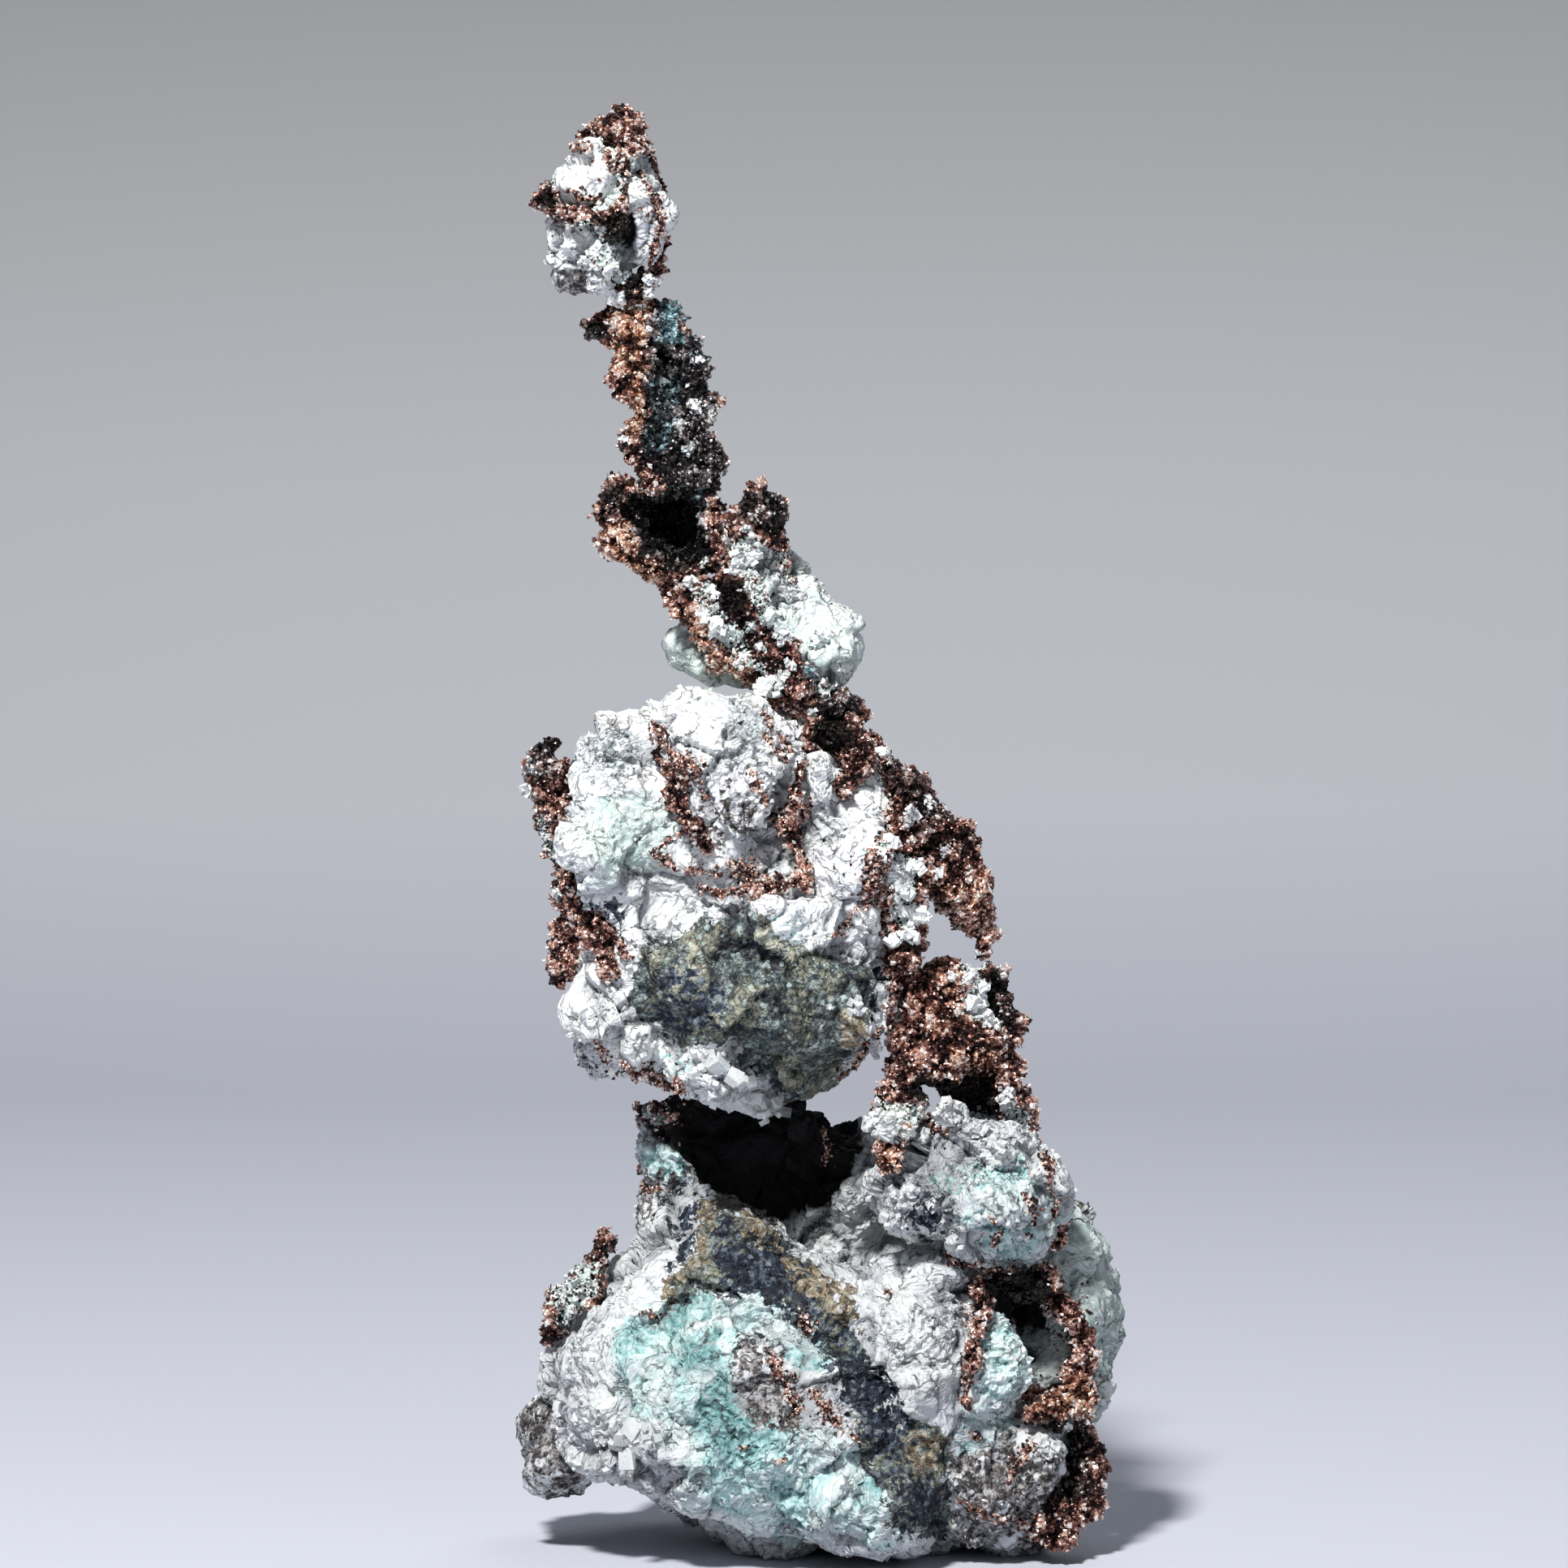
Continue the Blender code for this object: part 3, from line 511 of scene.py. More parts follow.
def turns(rng, count):
    """Random rotations."""
    q = rng.normal(size=(count, 4))
    q /= np.linalg.norm(q, axis=1)[:, None]
    w, x, y, z = q.T
    return np.stack((
        np.stack((1 - 2 * (y * y + z * z), 2 * (x * y - z * w), 2 * (x * z + y * w)), axis=1),
        np.stack((2 * (x * y + z * w), 1 - 2 * (x * x + z * z), 2 * (y * z - x * w)), axis=1),
        np.stack((2 * (x * z - y * w), 2 * (y * z + x * w), 1 - 2 * (x * x + y * y)), axis=1),
    ), axis=1)


def crystals(rng, points, sizes, values, form, skew, stretch):
    """Small crystals of one form, one at each point, turned, stretched and skewed at random."""
    count, each = len(points), len(form.corners)
    stretched = form.corners[None] * rng.uniform(*stretch, (count, 1, 3))
    shape = stretched * (1 + rng.uniform(-skew, skew, (count, each, 3)))
    shape *= sizes[:, None, None] / 2
    world = np.einsum("nij,nkj->nki", turns(rng, count), shape) + points[:, None]
    faces = form.faces[None] + each * np.arange(count)[:, None, None]
    totals = np.full(count * len(form.faces), form.faces.shape[1])
    tints = {k: np.repeat(v, each) for k, v in values.items()}
    return Shell(world.reshape(-1, 3), faces.ravel(), totals, **tints)


def sizes_between(rng, count, smallest, largest, power):
    """Random sizes; the higher the power, the rarer the large ones."""
    return smallest + (largest - smallest) * rng.uniform(0, 1, count) ** power


# ---------------------------------------------------------------- the matrix
BLOCKS = Layer(5.0, (2.6, 1.1, 31), 5, 0.35, 0.5, 0.65, 1.25, 0.07, 0.40)
CHUNKS = Layer(2.2, (1.6, 0.7, 32), 6, 0.12, 0.5, 0.34, 0.50, 0.09, 0.20)
GRAINS = Layer(0.9, (0.7, 0.2, 37), 7, 0.0, 0.0, 0.20, 0.22)
SWELLING = 0.35  # height of the widest swells, in mm
FOLD_TURN = np.array(((0.86, 0.0, 0.5), (0.0, 1.0, 0.0), (-0.5, 0.0, 0.86)))
FOLD_SQUEEZE = np.array((0.42, 0.8, 1.0))  # folds are long where this is small
FOLD_COUNT = 4.5
FOLD_HEIGHT = 0.34
PIT_DEPTH = (0.10, 0.22)  # least and further depth of the pits in the olive and navy areas
HOLLOW_DEPTH = 0.9  # how far the black hollow, painted near black as shade, is sunk
JITTER = 0.09  # how far single points of a rough skin are pushed in or out
SMOOTH_FROM = 0.45  # a face this calm is shaded smooth
SUGAR_SIZES = (0.22, 0.55, 2)  # smallest and largest grain, in mm, and how rare the large ones are
SUGAR_PATCH = (3.2, 55, 3)  # size, seed and octaves of the noise that clumps them
SUGAR_FROM = 0.08  # they lie where this noise is higher
SUGAR_RISE = 0.08  # how far a grain stands out, as a share of its size
SUGAR_DEPTH = 0.3  # how much of the crust's crevice shade a grain takes


def folded(points):
    """0 to 1 over and over: the overlapping scales of a layered crust."""
    squeezed = warped(points @ FOLD_TURN.T * FOLD_SQUEEZE, 1.6, 1.0, 33)
    folds = FOLD_COUNT * rough(squeezed, 2.4, 34, 3, 0.5)
    return folds - np.floor(folds)


def rock_relief(points, masks, calmness):
    """Height of the crust in millimetres, how deep in a crevice each point lies, and how smooth it is."""
    calm = np.clip(step(-0.40, 0.30, rough(points, 7.0, 29, 2)) + calmness, 0, 1)
    blocks, crack = broken(points, BLOCKS)
    chunks, fine_crack = broken(points, CHUNKS)
    grains, _ = broken(points, GRAINS)
    soft_area = np.clip(masks["green"] + 0.7 * masks["teal"] + 0.6 * masks["olive"], 0, 1)
    firm = 1 - 0.5 * soft_area
    height = SWELLING * rough(points, 5.0, 35, 5, 0.55)
    height = height + blocks * firm - BLOCKS.groove * crack * (1 - 0.4 * soft_area)
    height += (chunks * (1 - 0.5 * calm) - CHUNKS.groove * fine_crack * (1 - 0.4 * calm)) * firm
    height += grains * (1 - 0.8 * calm) * firm
    scaly = np.clip(0.35 + masks["teal"] * 1.2 - masks["olive"] - masks["navy"], 0, 1)
    height += FOLD_HEIGHT * (folded(points) - 0.5) * scaly
    pitted = np.clip(masks["olive"] + masks["navy"], 0, 1)
    height -= pitted * (PIT_DEPTH[0] + PIT_DEPTH[1] * np.abs(rough(points, 1.0, 36, 3)))
    height -= HOLLOW_DEPTH * masks["black"]
    # crevices and low places make the depth that the matrix material paints as shade
    crevice = 0.55 * crack + 0.4 * fine_crack * (1 - 0.7 * calm)
    depth = np.clip(crevice + 0.5 * step(-0.1, -0.9, height), 0, 1)
    calm = np.clip(calm + 0.5 * soft_area, 0, 1)
    return height + JITTER * (1 - 0.8 * calm) * specks(points, 38), depth, calm


def rock_shell(node, voxel, grow, calmness):
    """The crusted skin of one matrix solid, with its colours as attributes."""
    points, normals, loops, totals = skin_of(node, voxel, 2, 3)
    masks = rock_tints(points, node != "middle_rock")
    height, depth, calm = rock_relief(points, masks, calmness)
    points = points + normals * (height + grow)[:, None]
    soft = calm[loops[first_loops(totals)]] > SMOOTH_FROM
    return Shell(points, loops, totals, soft, depth=depth, high=step(-0.6, 0.7, height), calm=calm, **masks)


def sugar(rng, shell, density):
    """Small pale grains on the crust, in clumps, away from the dark and the smooth areas."""
    points, normals, source = strewn(rng, shell, density)
    bare = shell.values["olive"] + shell.values["calm"] * 0.75 + shell.values["depth"] * 0.8
    keep = rng.uniform(0, 1, len(points)) > bare[source]
    keep &= rough(points, *SUGAR_PATCH) > SUGAR_FROM
    points, normals, source = points[keep], normals[keep], source[keep]
    sizes = sizes_between(rng, len(points), *SUGAR_SIZES)
    values = {k: v[source] for k, v in shell.values.items()}
    values["depth"] = values["depth"] * SUGAR_DEPTH
    spots = points + normals * (sizes * SUGAR_RISE)[:, None]
    return crystals(rng, spots, sizes, values, BLOCK, *SUGAR_HABIT)


# ---------------------------------------------------------------- the copper
# Areas of the copper's own tone on the front: (outline, soft edge, strength)
COPPER_AREAS = {
    "tarnish": [
        ([(800, 385), (850, 395), (885, 450), (880, 520), (900, 580), (885, 612), (830, 612), (800, 560),
          (795, 470)], 12, 0.95),
        ([(780, 605), (870, 600), (870, 700), (820, 700), (785, 660)], 10, 1.0),
        ([(645, 900), (695, 905), (690, 970), (648, 960)], 12, 0.75),
        ([(1090, 925), (1140, 945), (1180, 1010), (1150, 1040), (1100, 980)], 14, 0.6),
        ([(900, 590), (970, 600), (975, 660), (910, 655)], 12, 0.7),
        ([(985, 800), (1055, 830), (1060, 890), (1000, 880)], 12, 0.75),
        ([(675, 1530), (760, 1520), (760, 1560), (690, 1660), (675, 1640)], 12, 0.6),
        ([(1215, 1180), (1260, 1200), (1260, 1290), (1225, 1260)], 12, 0.6),
        ([(735, 590), (790, 600), (790, 640), (740, 640)], 10, 0.6),
        ([(700, 540), (780, 535), (790, 560), (740, 580)], 10, 0.4),
        ([(710, 395), (745, 390), (745, 415), (712, 418)], 8, 0.8),
        ([(1290, 1740), (1345, 1740), (1340, 1850), (1290, 1850)], 12, 0.7),
        ([(655, 225), (690, 225), (690, 270), (660, 270)], 8, 0.5),
    ],
    # dark: painted shade, near black, in the crook's hollow, on the spire's shaded right side, under the
    # nodule and in other dark recesses
    "dark": [
        ([(785, 605), (862, 600), (866, 690), (825, 692), (790, 655)], 10, 1.0),
        ([(806, 425), (822, 430), (826, 500), (822, 590), (812, 590), (803, 520)], 6, 0.55),
        ([(875, 712), (925, 715), (922, 748), (882, 748)], 6, 1.0),
        ([(1005, 880), (1050, 880), (1055, 905), (1030, 935), (1005, 925)], 6, 1.0),
        ([(1130, 1325), (1225, 1335), (1235, 1395), (1200, 1410), (1165, 1370), (1120, 1345)], 10, 1.0),
        ([(1215, 1565), (1290, 1560), (1285, 1640), (1245, 1640)], 8, 1.0),
        ([(1295, 1745), (1325, 1745), (1310, 1850), (1290, 1850)], 8, 0.9),
        ([(735, 268), (778, 262), (780, 308), (745, 310)], 6, 1.0),
        ([(770, 325), (792, 325), (792, 372), (772, 372)], 5, 1.0),
        ([(1125, 1030), (1150, 1050), (1140, 1100), (1120, 1090)], 8, 0.6),
        ([(1215, 1190), (1240, 1195), (1235, 1260), (1212, 1240)], 8, 0.8),
    ],
    # bright: warmer, brighter copper, partly its own fresher colour and partly painted light where the sides
    # face the light
    "bright": [
        ([(740, 370), (800, 375), (803, 500), (790, 565), (765, 530), (775, 460), (745, 430)], 8, 1.0),
        ([(735, 645), (800, 650), (830, 700), (800, 725), (750, 690)], 8, 0.8),
        ([(815, 740), (860, 760), (960, 850), (930, 860), (840, 800)], 8, 0.5),
        ([(1090, 1360), (1130, 1360), (1130, 1440), (1085, 1440)], 8, 0.6),
        ([(1255, 1700), (1350, 1690), (1350, 1745), (1260, 1745)], 8, 0.8),
        ([(1100, 1060), (1225, 1060), (1225, 1150), (1180, 1130)], 10, 0.35),
        ([(1130, 1170), (1200, 1190), (1240, 1330), (1180, 1330), (1140, 1260)], 10, 0.35),
    ],
    "patina": [
        ([(805, 360), (838, 368), (848, 415), (815, 425)], 8, 1.0),
        ([(845, 385), (880, 440), (860, 470), (840, 420)], 8, 0.35),
        ([(800, 450), (835, 455), (835, 560), (805, 560)], 10, 0.5),
        ([(825, 600), (870, 600), (870, 640), (835, 640)], 10, 0.6),
        ([(990, 815), (1030, 820), (1030, 850), (995, 850)], 8, 0.6),
        ([(648, 905), (665, 940), (660, 1000), (645, 990)], 8, 0.5),
        ([(675, 1590), (720, 1560), (715, 1640), (685, 1650)], 10, 0.45),
        ([(845, 940), (880, 950), (870, 990), (845, 980)], 8, 0.45),
    ],
    "pale": [
        ([(890, 660), (960, 670), (1000, 740), (985, 800), (930, 770), (905, 700)], 10, 0.62),
        ([(850, 720), (880, 715), (930, 800), (990, 850), (930, 830), (870, 780)], 10, 0.6),
        ([(680, 195), (740, 178), (765, 195), (768, 240), (740, 262), (700, 240), (678, 230)], 5, 0.85),
        ([(670, 270), (735, 275), (780, 310), (770, 350), (700, 345), (672, 310)], 6, 0.66),
        ([(780, 180), (800, 200), (815, 270), (800, 330), (785, 300), (778, 240)], 5, 0.85),
        ([(680, 1560), (740, 1540), (745, 1600), (700, 1640), (675, 1620)], 8, 0.6),
        ([(650, 1000), (690, 1010), (690, 1060), (660, 1060)], 8, 0.55),
        ([(1085, 1030), (1130, 1050), (1135, 1160), (1095, 1130)], 10, 0.62),
        ([(1180, 1130), (1215, 1180), (1225, 1260), (1195, 1270), (1185, 1200)], 8, 0.6),
        ([(1080, 1350), (1190, 1360), (1220, 1400), (1140, 1420), (1080, 1400)], 10, 0.6),
        ([(1230, 1340), (1275, 1360), (1275, 1410), (1235, 1400)], 8, 0.6),
        ([(690, 285), (780, 290), (790, 345), (700, 320)], 8, 0.6),
        ([(795, 335), (808, 335), (808, 365), (795, 365)], 5, 0.8),
        ([(1295, 1600), (1325, 1640), (1300, 1690), (1285, 1640)], 8, 0.5),
    ],
}
COPPER_SEED = 910
COPPER_EDGE = (2.0, 5.0)  # y, in mm, over which the front's areas fade out towards the back
COPPER_PATCHES = {
    "tarnish": (0.6, 0.0, 0.4, 5, 82),
    "patina": (0.5, 0.22, 0.45, 5, 83),
    "pale": (0.6, 0.15, 0.35, 6, 84),
}
CORE_VOXEL = 0.25
LOBES = Layer(2.8, (2.0, 0.8, 67), 68, 0.50, 0.45, 0.3, 0.0, 0.18, 0.35)
KNOBS = Layer(1.3, (1.0, 0.45, 61), 62, 0.45, 0.42, 0.30, 0.0, 0.25, 0.35)
CORE_GRAINS = Layer(0.55, (1.0, 0.0, 0), 65, 0.0, 0.0, 0.15, 0.3)
KNOB_DEPTH = 0.6  # how far the hollows between the knobs go in, in mm
CORE_JITTER = 0.12  # how far single points of the core are pushed in or out
CORE_TONE = (0.02, 0.50, 0.18)  # tone in the hollows, and how much height and mottling change it; low places darker as painted shade
# the same for the crystals: those on low places darker, as painted shade
CRYSTAL_TONE = (0.16, 0.46, 0.20)
TONE_SPREAD = 0.30
CRYSTAL_SIZES = (0.13, 0.37, 2.2)  # smallest and largest, in mm, and how rare the large ones are
SPROUTS = 0.10  # share of the crystals that stand out on a stalk
SPROUT_HEIGHT = (0.12, 0.36)
STALK = 0.2  # size of a stalk's crystal


def toned(lift, mottle, base, by_lift, by_mottle):
    """How bright the copper is at each point; it is darker where it lies low, as painted shade."""
    return base + by_lift * lift + by_mottle * mottle


def copper_shell(rng, node, grow, density):
    """A knobbly grained core over one copper solid, with crystals strewn over it."""
    points, normals, loops, totals = skin_of(node, CORE_VOXEL, 0, 2)
    knobs = 0.0
    for layer in (LOBES, KNOBS):
        height, crack = broken(points, layer)
        knobs = knobs + (height - layer.groove * crack)
    knobs = np.where(knobs < 0, KNOB_DEPTH * np.tanh(knobs / KNOB_DEPTH), knobs)
    grains, _ = broken(points, CORE_GRAINS)
    grains += CORE_JITTER * specks(points, 66)
    points = points + normals * (knobs + grains + grow)[:, None]
    # how raised the core is; it places the crystals and gives the low places painted shade
    lift = step(-0.65, 0.2, knobs + grains)
    mottle = rough(points, 1.3, 63, 2)
    tints, behind = drawn_areas(points, COPPER_AREAS, COPPER_EDGE, COPPER_SEED)
    add_patches(tints, points, behind, COPPER_PATCHES)
    core = Shell(points, loops, totals, lift=lift, tone=toned(lift, mottle, *CORE_TONE), **tints)

    spots, outward, source = strewn(rng, core, density)
    keep = rng.uniform(0, 1, len(spots)) < 0.10 + 0.90 * lift[source]
    spots, outward, source = spots[keep], outward[keep], source[keep]
    raised = lift[source]
    count = len(spots)
    sizes = sizes_between(rng, count, *CRYSTAL_SIZES) * (0.8 + 0.3 * raised)
    stalk = rng.uniform(0, 1, count) < SPROUTS * raised
    rise = sizes * 0.10 + stalk * rng.uniform(*SPROUT_HEIGHT, count)
    values = {k: v[source] for k, v in tints.items()}
    values["tone"] = toned(raised, mottle[source], *CRYSTAL_TONE) + rng.normal(0, TONE_SPREAD, count)
    values["pale"] = values["pale"] + 0.35 * rough(spots, 1.1, 64, 3) * (values["pale"] > 0.05)
    values["lift"] = raised
    grown = crystals(rng, spots + outward * rise[:, None], sizes, values, OCTA, *COPPER_HABIT)
    stems = spots[stalk] + outward[stalk] * (rise[stalk] * 0.45)[:, None]
    stem_values = {k: v[stalk] for k, v in values.items()}
    stems = crystals(rng, stems, np.full(len(stems), STALK), stem_values, OCTA, *STALK_HABIT)
    return joined([core, grown, stems])


# Thin copper on the rock: (line in the view's pixels, half width in mm, crystals a mm)
VEINS = [
    ([(805, 893), (820, 915), (834, 934), (850, 958)], 0.55, 60),
    ([(943, 881), (952, 897), (964, 911), (975, 930)], 0.5, 50),
    ([(925, 952), (935, 970), (946, 993)], 0.35, 40),
    ([(943, 905), (955, 925), (972, 940)], 0.3, 30),
    ([(799, 1052), (815, 1040), (834, 1028), (850, 1012)], 0.35, 35),
    ([(803, 1040), (812, 1052), (820, 1068)], 0.3, 30),
    ([(816, 1064), (850, 1070), (887, 1075), (915, 1080), (946, 1087), (970, 1082), (993, 1075)], 0.55, 55),
    ([(900, 1062), (930, 1075), (955, 1098)], 0.5, 45),
    ([(987, 940), (980, 965), (961, 1011), (975, 1040), (987, 1069)], 0.5, 50),
    ([(999, 999), (985, 1015), (969, 1034)], 0.25, 25),
    ([(1000, 985), (990, 1000), (975, 1010)], 0.25, 25),
    ([(1069, 1087), (1058, 1110), (1046, 1134), (1025, 1158)], 0.2, 22),
    ([(1111, 1028), (1090, 1055), (1075, 1075), (1061, 1105)], 0.5, 45),
    ([(1128, 993), (1110, 985), (1093, 981)], 0.5, 45),
    ([(1105, 946), (1100, 965), (1093, 981)], 0.45, 45),
    ([(1095, 1060), (1085, 1090), (1092, 1120), (1085, 1150)], 0.45, 40),
    ([(735, 1285), (742, 1300), (750, 1310)], 0.4, 40),
    ([(730, 1120), (745, 1140), (760, 1160), (772, 1180)], 0.5, 50),
    ([(951, 1668), (960, 1690), (971, 1712), (986, 1745)], 0.5, 60),
    ([(1001, 1714), (1012, 1730), (1025, 1745), (1042, 1762), (1059, 1779)], 0.4, 40),
    ([(988, 1622), (1000, 1640)], 0.5, 45),
    ([(1098, 1590), (1092, 1600)], 0.4, 35),
    ([(790, 1620), (817, 1622)], 0.3, 20),
    ([(912, 1785), (925, 1782)], 0.3, 30),
    ([(955, 1800), (970, 1797)], 0.3, 30),
    ([(1201, 1568), (1205, 1614), (1196, 1660), (1186, 1706)], 0.45, 50),
    ([(1294, 1560), (1310, 1600), (1325, 1629), (1322, 1680), (1317, 1714)], 0.6, 60),
    ([(1258, 1722), (1290, 1712), (1320, 1722), (1345, 1712)], 1.0, 110),
    ([(1332, 1745), (1325, 1790), (1317, 1829), (1301, 1891)], 0.6, 60),
    ([(1200, 1560), (1230, 1566), (1262, 1562)], 0.7, 70),
    ([(1100, 1350), (1104, 1385), (1098, 1420)], 0.9, 90),
    ([(1125, 1365), (1150, 1390), (1172, 1400)], 0.5, 50),
    ([(1222, 1500), (1232, 1520), (1225, 1540)], 0.35, 35),
    ([(1262, 1470), (1272, 1500), (1262, 1530)], 0.35, 35),
    ([(1170, 1545), (1185, 1555), (1200, 1560)], 0.4, 40),
    ([(1285, 1420), (1296, 1460), (1300, 1500)], 0.5, 50),
    ([(790, 215), (805, 245), (815, 270), (808, 300), (800, 330)], 0.35, 45),
    ([(680, 262), (700, 258), (725, 262), (750, 262), (770, 250)], 0.55, 70),
    ([(700, 182), (715, 180), (730, 184)], 0.6, 60),
    ([(745, 175), (750, 200), (765, 215), (775, 235)], 0.5, 50),
    ([(780, 1440), (795, 1462), (815, 1470)], 0.4, 40),
    ([(1010, 1380), (1020, 1410), (1018, 1440)], 0.4, 40),
    ([(795, 1345), (780, 1370), (774, 1400), (782, 1430), (800, 1470)], 0.35, 40),
    ([(1098, 1090), (1106, 1150), (1102, 1200), (1096, 1250), (1088, 1290)], 0.9, 80),
    ([(1085, 1265), (1060, 1300), (1030, 1330)], 0.4, 40),
    ([(700, 232), (722, 244), (750, 250), (768, 246)], 0.3, 40),
    ([(815, 900), (830, 930), (845, 945)], 0.9, 60),
    ([(830, 925), (850, 940), (862, 965), (868, 985)], 0.5, 40),
    ([(1075, 935), (1090, 960), (1098, 990), (1090, 1020), (1100, 1050)], 0.6, 60),
    ([(1110, 1010), (1090, 1030), (1070, 1060), (1080, 1090), (1065, 1120)], 0.4, 40),
    ([(640, 1000), (655, 1040), (668, 1080), (700, 1110)], 0.3, 30),
    ([(1040, 905), (1050, 935), (1030, 960), (1010, 985)], 0.3, 30),
    ([(776, 1308), (786, 1318), (800, 1326), (818, 1331), (840, 1336)], 1.1, 110),
    ([(783, 1360), (796, 1364), (812, 1371), (830, 1380)], 0.9, 90),
    ([(1196, 1250), (1205, 1280), (1216, 1310)], 0.4, 30),
    ([(1290, 1760), (1265, 1785), (1240, 1830)], 0.4, 40),
    ([(1195, 1765), (1225, 1788), (1255, 1800)], 0.3, 30),
    ([(1180, 1850), (1220, 1868), (1270, 1880)], 0.4, 36),
    ([(1110, 1352), (1140, 1372), (1160, 1392)], 0.5, 50),
]
VEIN_STEP = 0.12  # how far apart a line's places are, in mm
VEIN_SHARE = 0.9  # how wide the threads grow, as a share of their drawn width
VEIN_CRYSTALS = 1.6  # how many of the drawn crystals grow
VEIN_WOBBLE = (22.0, 7)  # size of the line's wandering and how far it goes, in pixels
VEIN_REACH = 4.5  # a place further than this before or behind the line's middle is left out, in mm
VEIN_SIZES = (0.13, 0.35, 2)
ASTRAY = (0.18, 2.6)  # share of the crystals that lie farther out, and how much farther


def trees_of(pieces):
    """Search trees over these pieces, in metres, at rest."""
    depsgraph = bpy.context.evaluated_depsgraph_get()
    return [BVHTree.FromObject(piece, depsgraph) for piece in pieces]


def nearest_hit(hits):
    """The point in millimetres and the normal of the nearest hit, or None."""
    hits = [hit for hit in hits if hit[0] is not None]
    if not hits:
        return None
    place, normal, _, _ = min(hits, key=lambda hit: hit[3])
    return np.array(place) / MM, np.array(normal)


def seen_at(trees, px, py):
    """What the eye meets at a pixel."""
    eye, ray = Vector(EYE * MM), Vector(sight_line(px, py))
    return nearest_hit([tree.ray_cast(eye, ray) for tree in trees])


def settled(trees, points):
    """The nearest places on these pieces, with their normals."""
    hits = [nearest_hit([tree.find_nearest(Vector(p)) for tree in trees]) for p in points * MM]
    return np.array([hit[0] for hit in hits]), np.array([hit[1] for hit in hits])


def line_places(line):
    """Evenly spaced pixels along a line, wandering a little."""
    path = np.array(line, float)
    spots = []
    for a, b in zip(path[:-1], path[1:]):
        steps = max(2, int(np.linalg.norm(b - a) * DISTANCE / PIXELS / VEIN_STEP))
        spots.extend(a + (b - a) * t for t in np.linspace(0, 1, steps, endpoint=False))
    spots = np.array(spots)
    flat = np.column_stack((spots, np.zeros(len(spots))))
    size, reach = VEIN_WOBBLE
    return spots + np.stack([rough(flat, size, 640 + k, 3, 0.6) for k in range(2)], axis=1) * reach


def vein_shell(rng, trees, line, half_width, per_mm):
    """Crystals along a line on the rock, where the eye meets it."""
    half_width = half_width * VEIN_SHARE
    found = [seen_at(trees, *spot) for spot in line_places(line)]
    found = [f for f in found if f is not None]
    if not found:
        return None
    where = np.array([f[0] for f in found])
    facing = np.array([f[1] for f in found])
    near = np.abs(where[:, 1] - np.median(where[:, 1])) < VEIN_REACH
    where, facing = where[near], facing[near]
    count = int(VEIN_CRYSTALS * per_mm * len(where) * VEIN_STEP)
    pick = rng.integers(0, len(where), count)
    swelling = 0.75 + 2.2 * rough(where[pick], 1.3, 650, 3, 0.6)
    keep = rng.uniform(0, 1, count) < swelling
    pick, swelling = pick[keep], np.clip(swelling[keep], 0.2, 2.0)
    count = len(pick)
    taper = np.sin(np.pi * (pick + 0.5) / len(where)) ** 0.4 * swelling
    astray = np.where(rng.uniform(0, 1, count) < ASTRAY[0], ASTRAY[1], 1.0)
    side = rng.normal(0, 0.5, (count, 3)) * half_width * (taper * astray)[:, None]
    outward = facing[pick]
    side -= outward * (side * outward).sum(axis=1)[:, None]
    rise = half_width * 0.6 * np.maximum(0, 1 - np.linalg.norm(side, axis=1) / (half_width + 1e-6))
    rise = rise * rng.uniform(0.1, 1.0, count)
    sizes = sizes_between(rng, count, *VEIN_SIZES)
    # crystals that stand higher are lighter and lower ones darker: painted shade
    tone = 0.32 + 0.4 * rise / half_width + rng.normal(0, 0.28, count)
    spots, outward = settled(trees, where[pick] + side)
    values = {"tone": tone, "lift": np.full(count, 0.7)}
    return crystals(rng, spots + outward * rise[:, None], sizes, values, OCTA, *THREAD_HABIT)


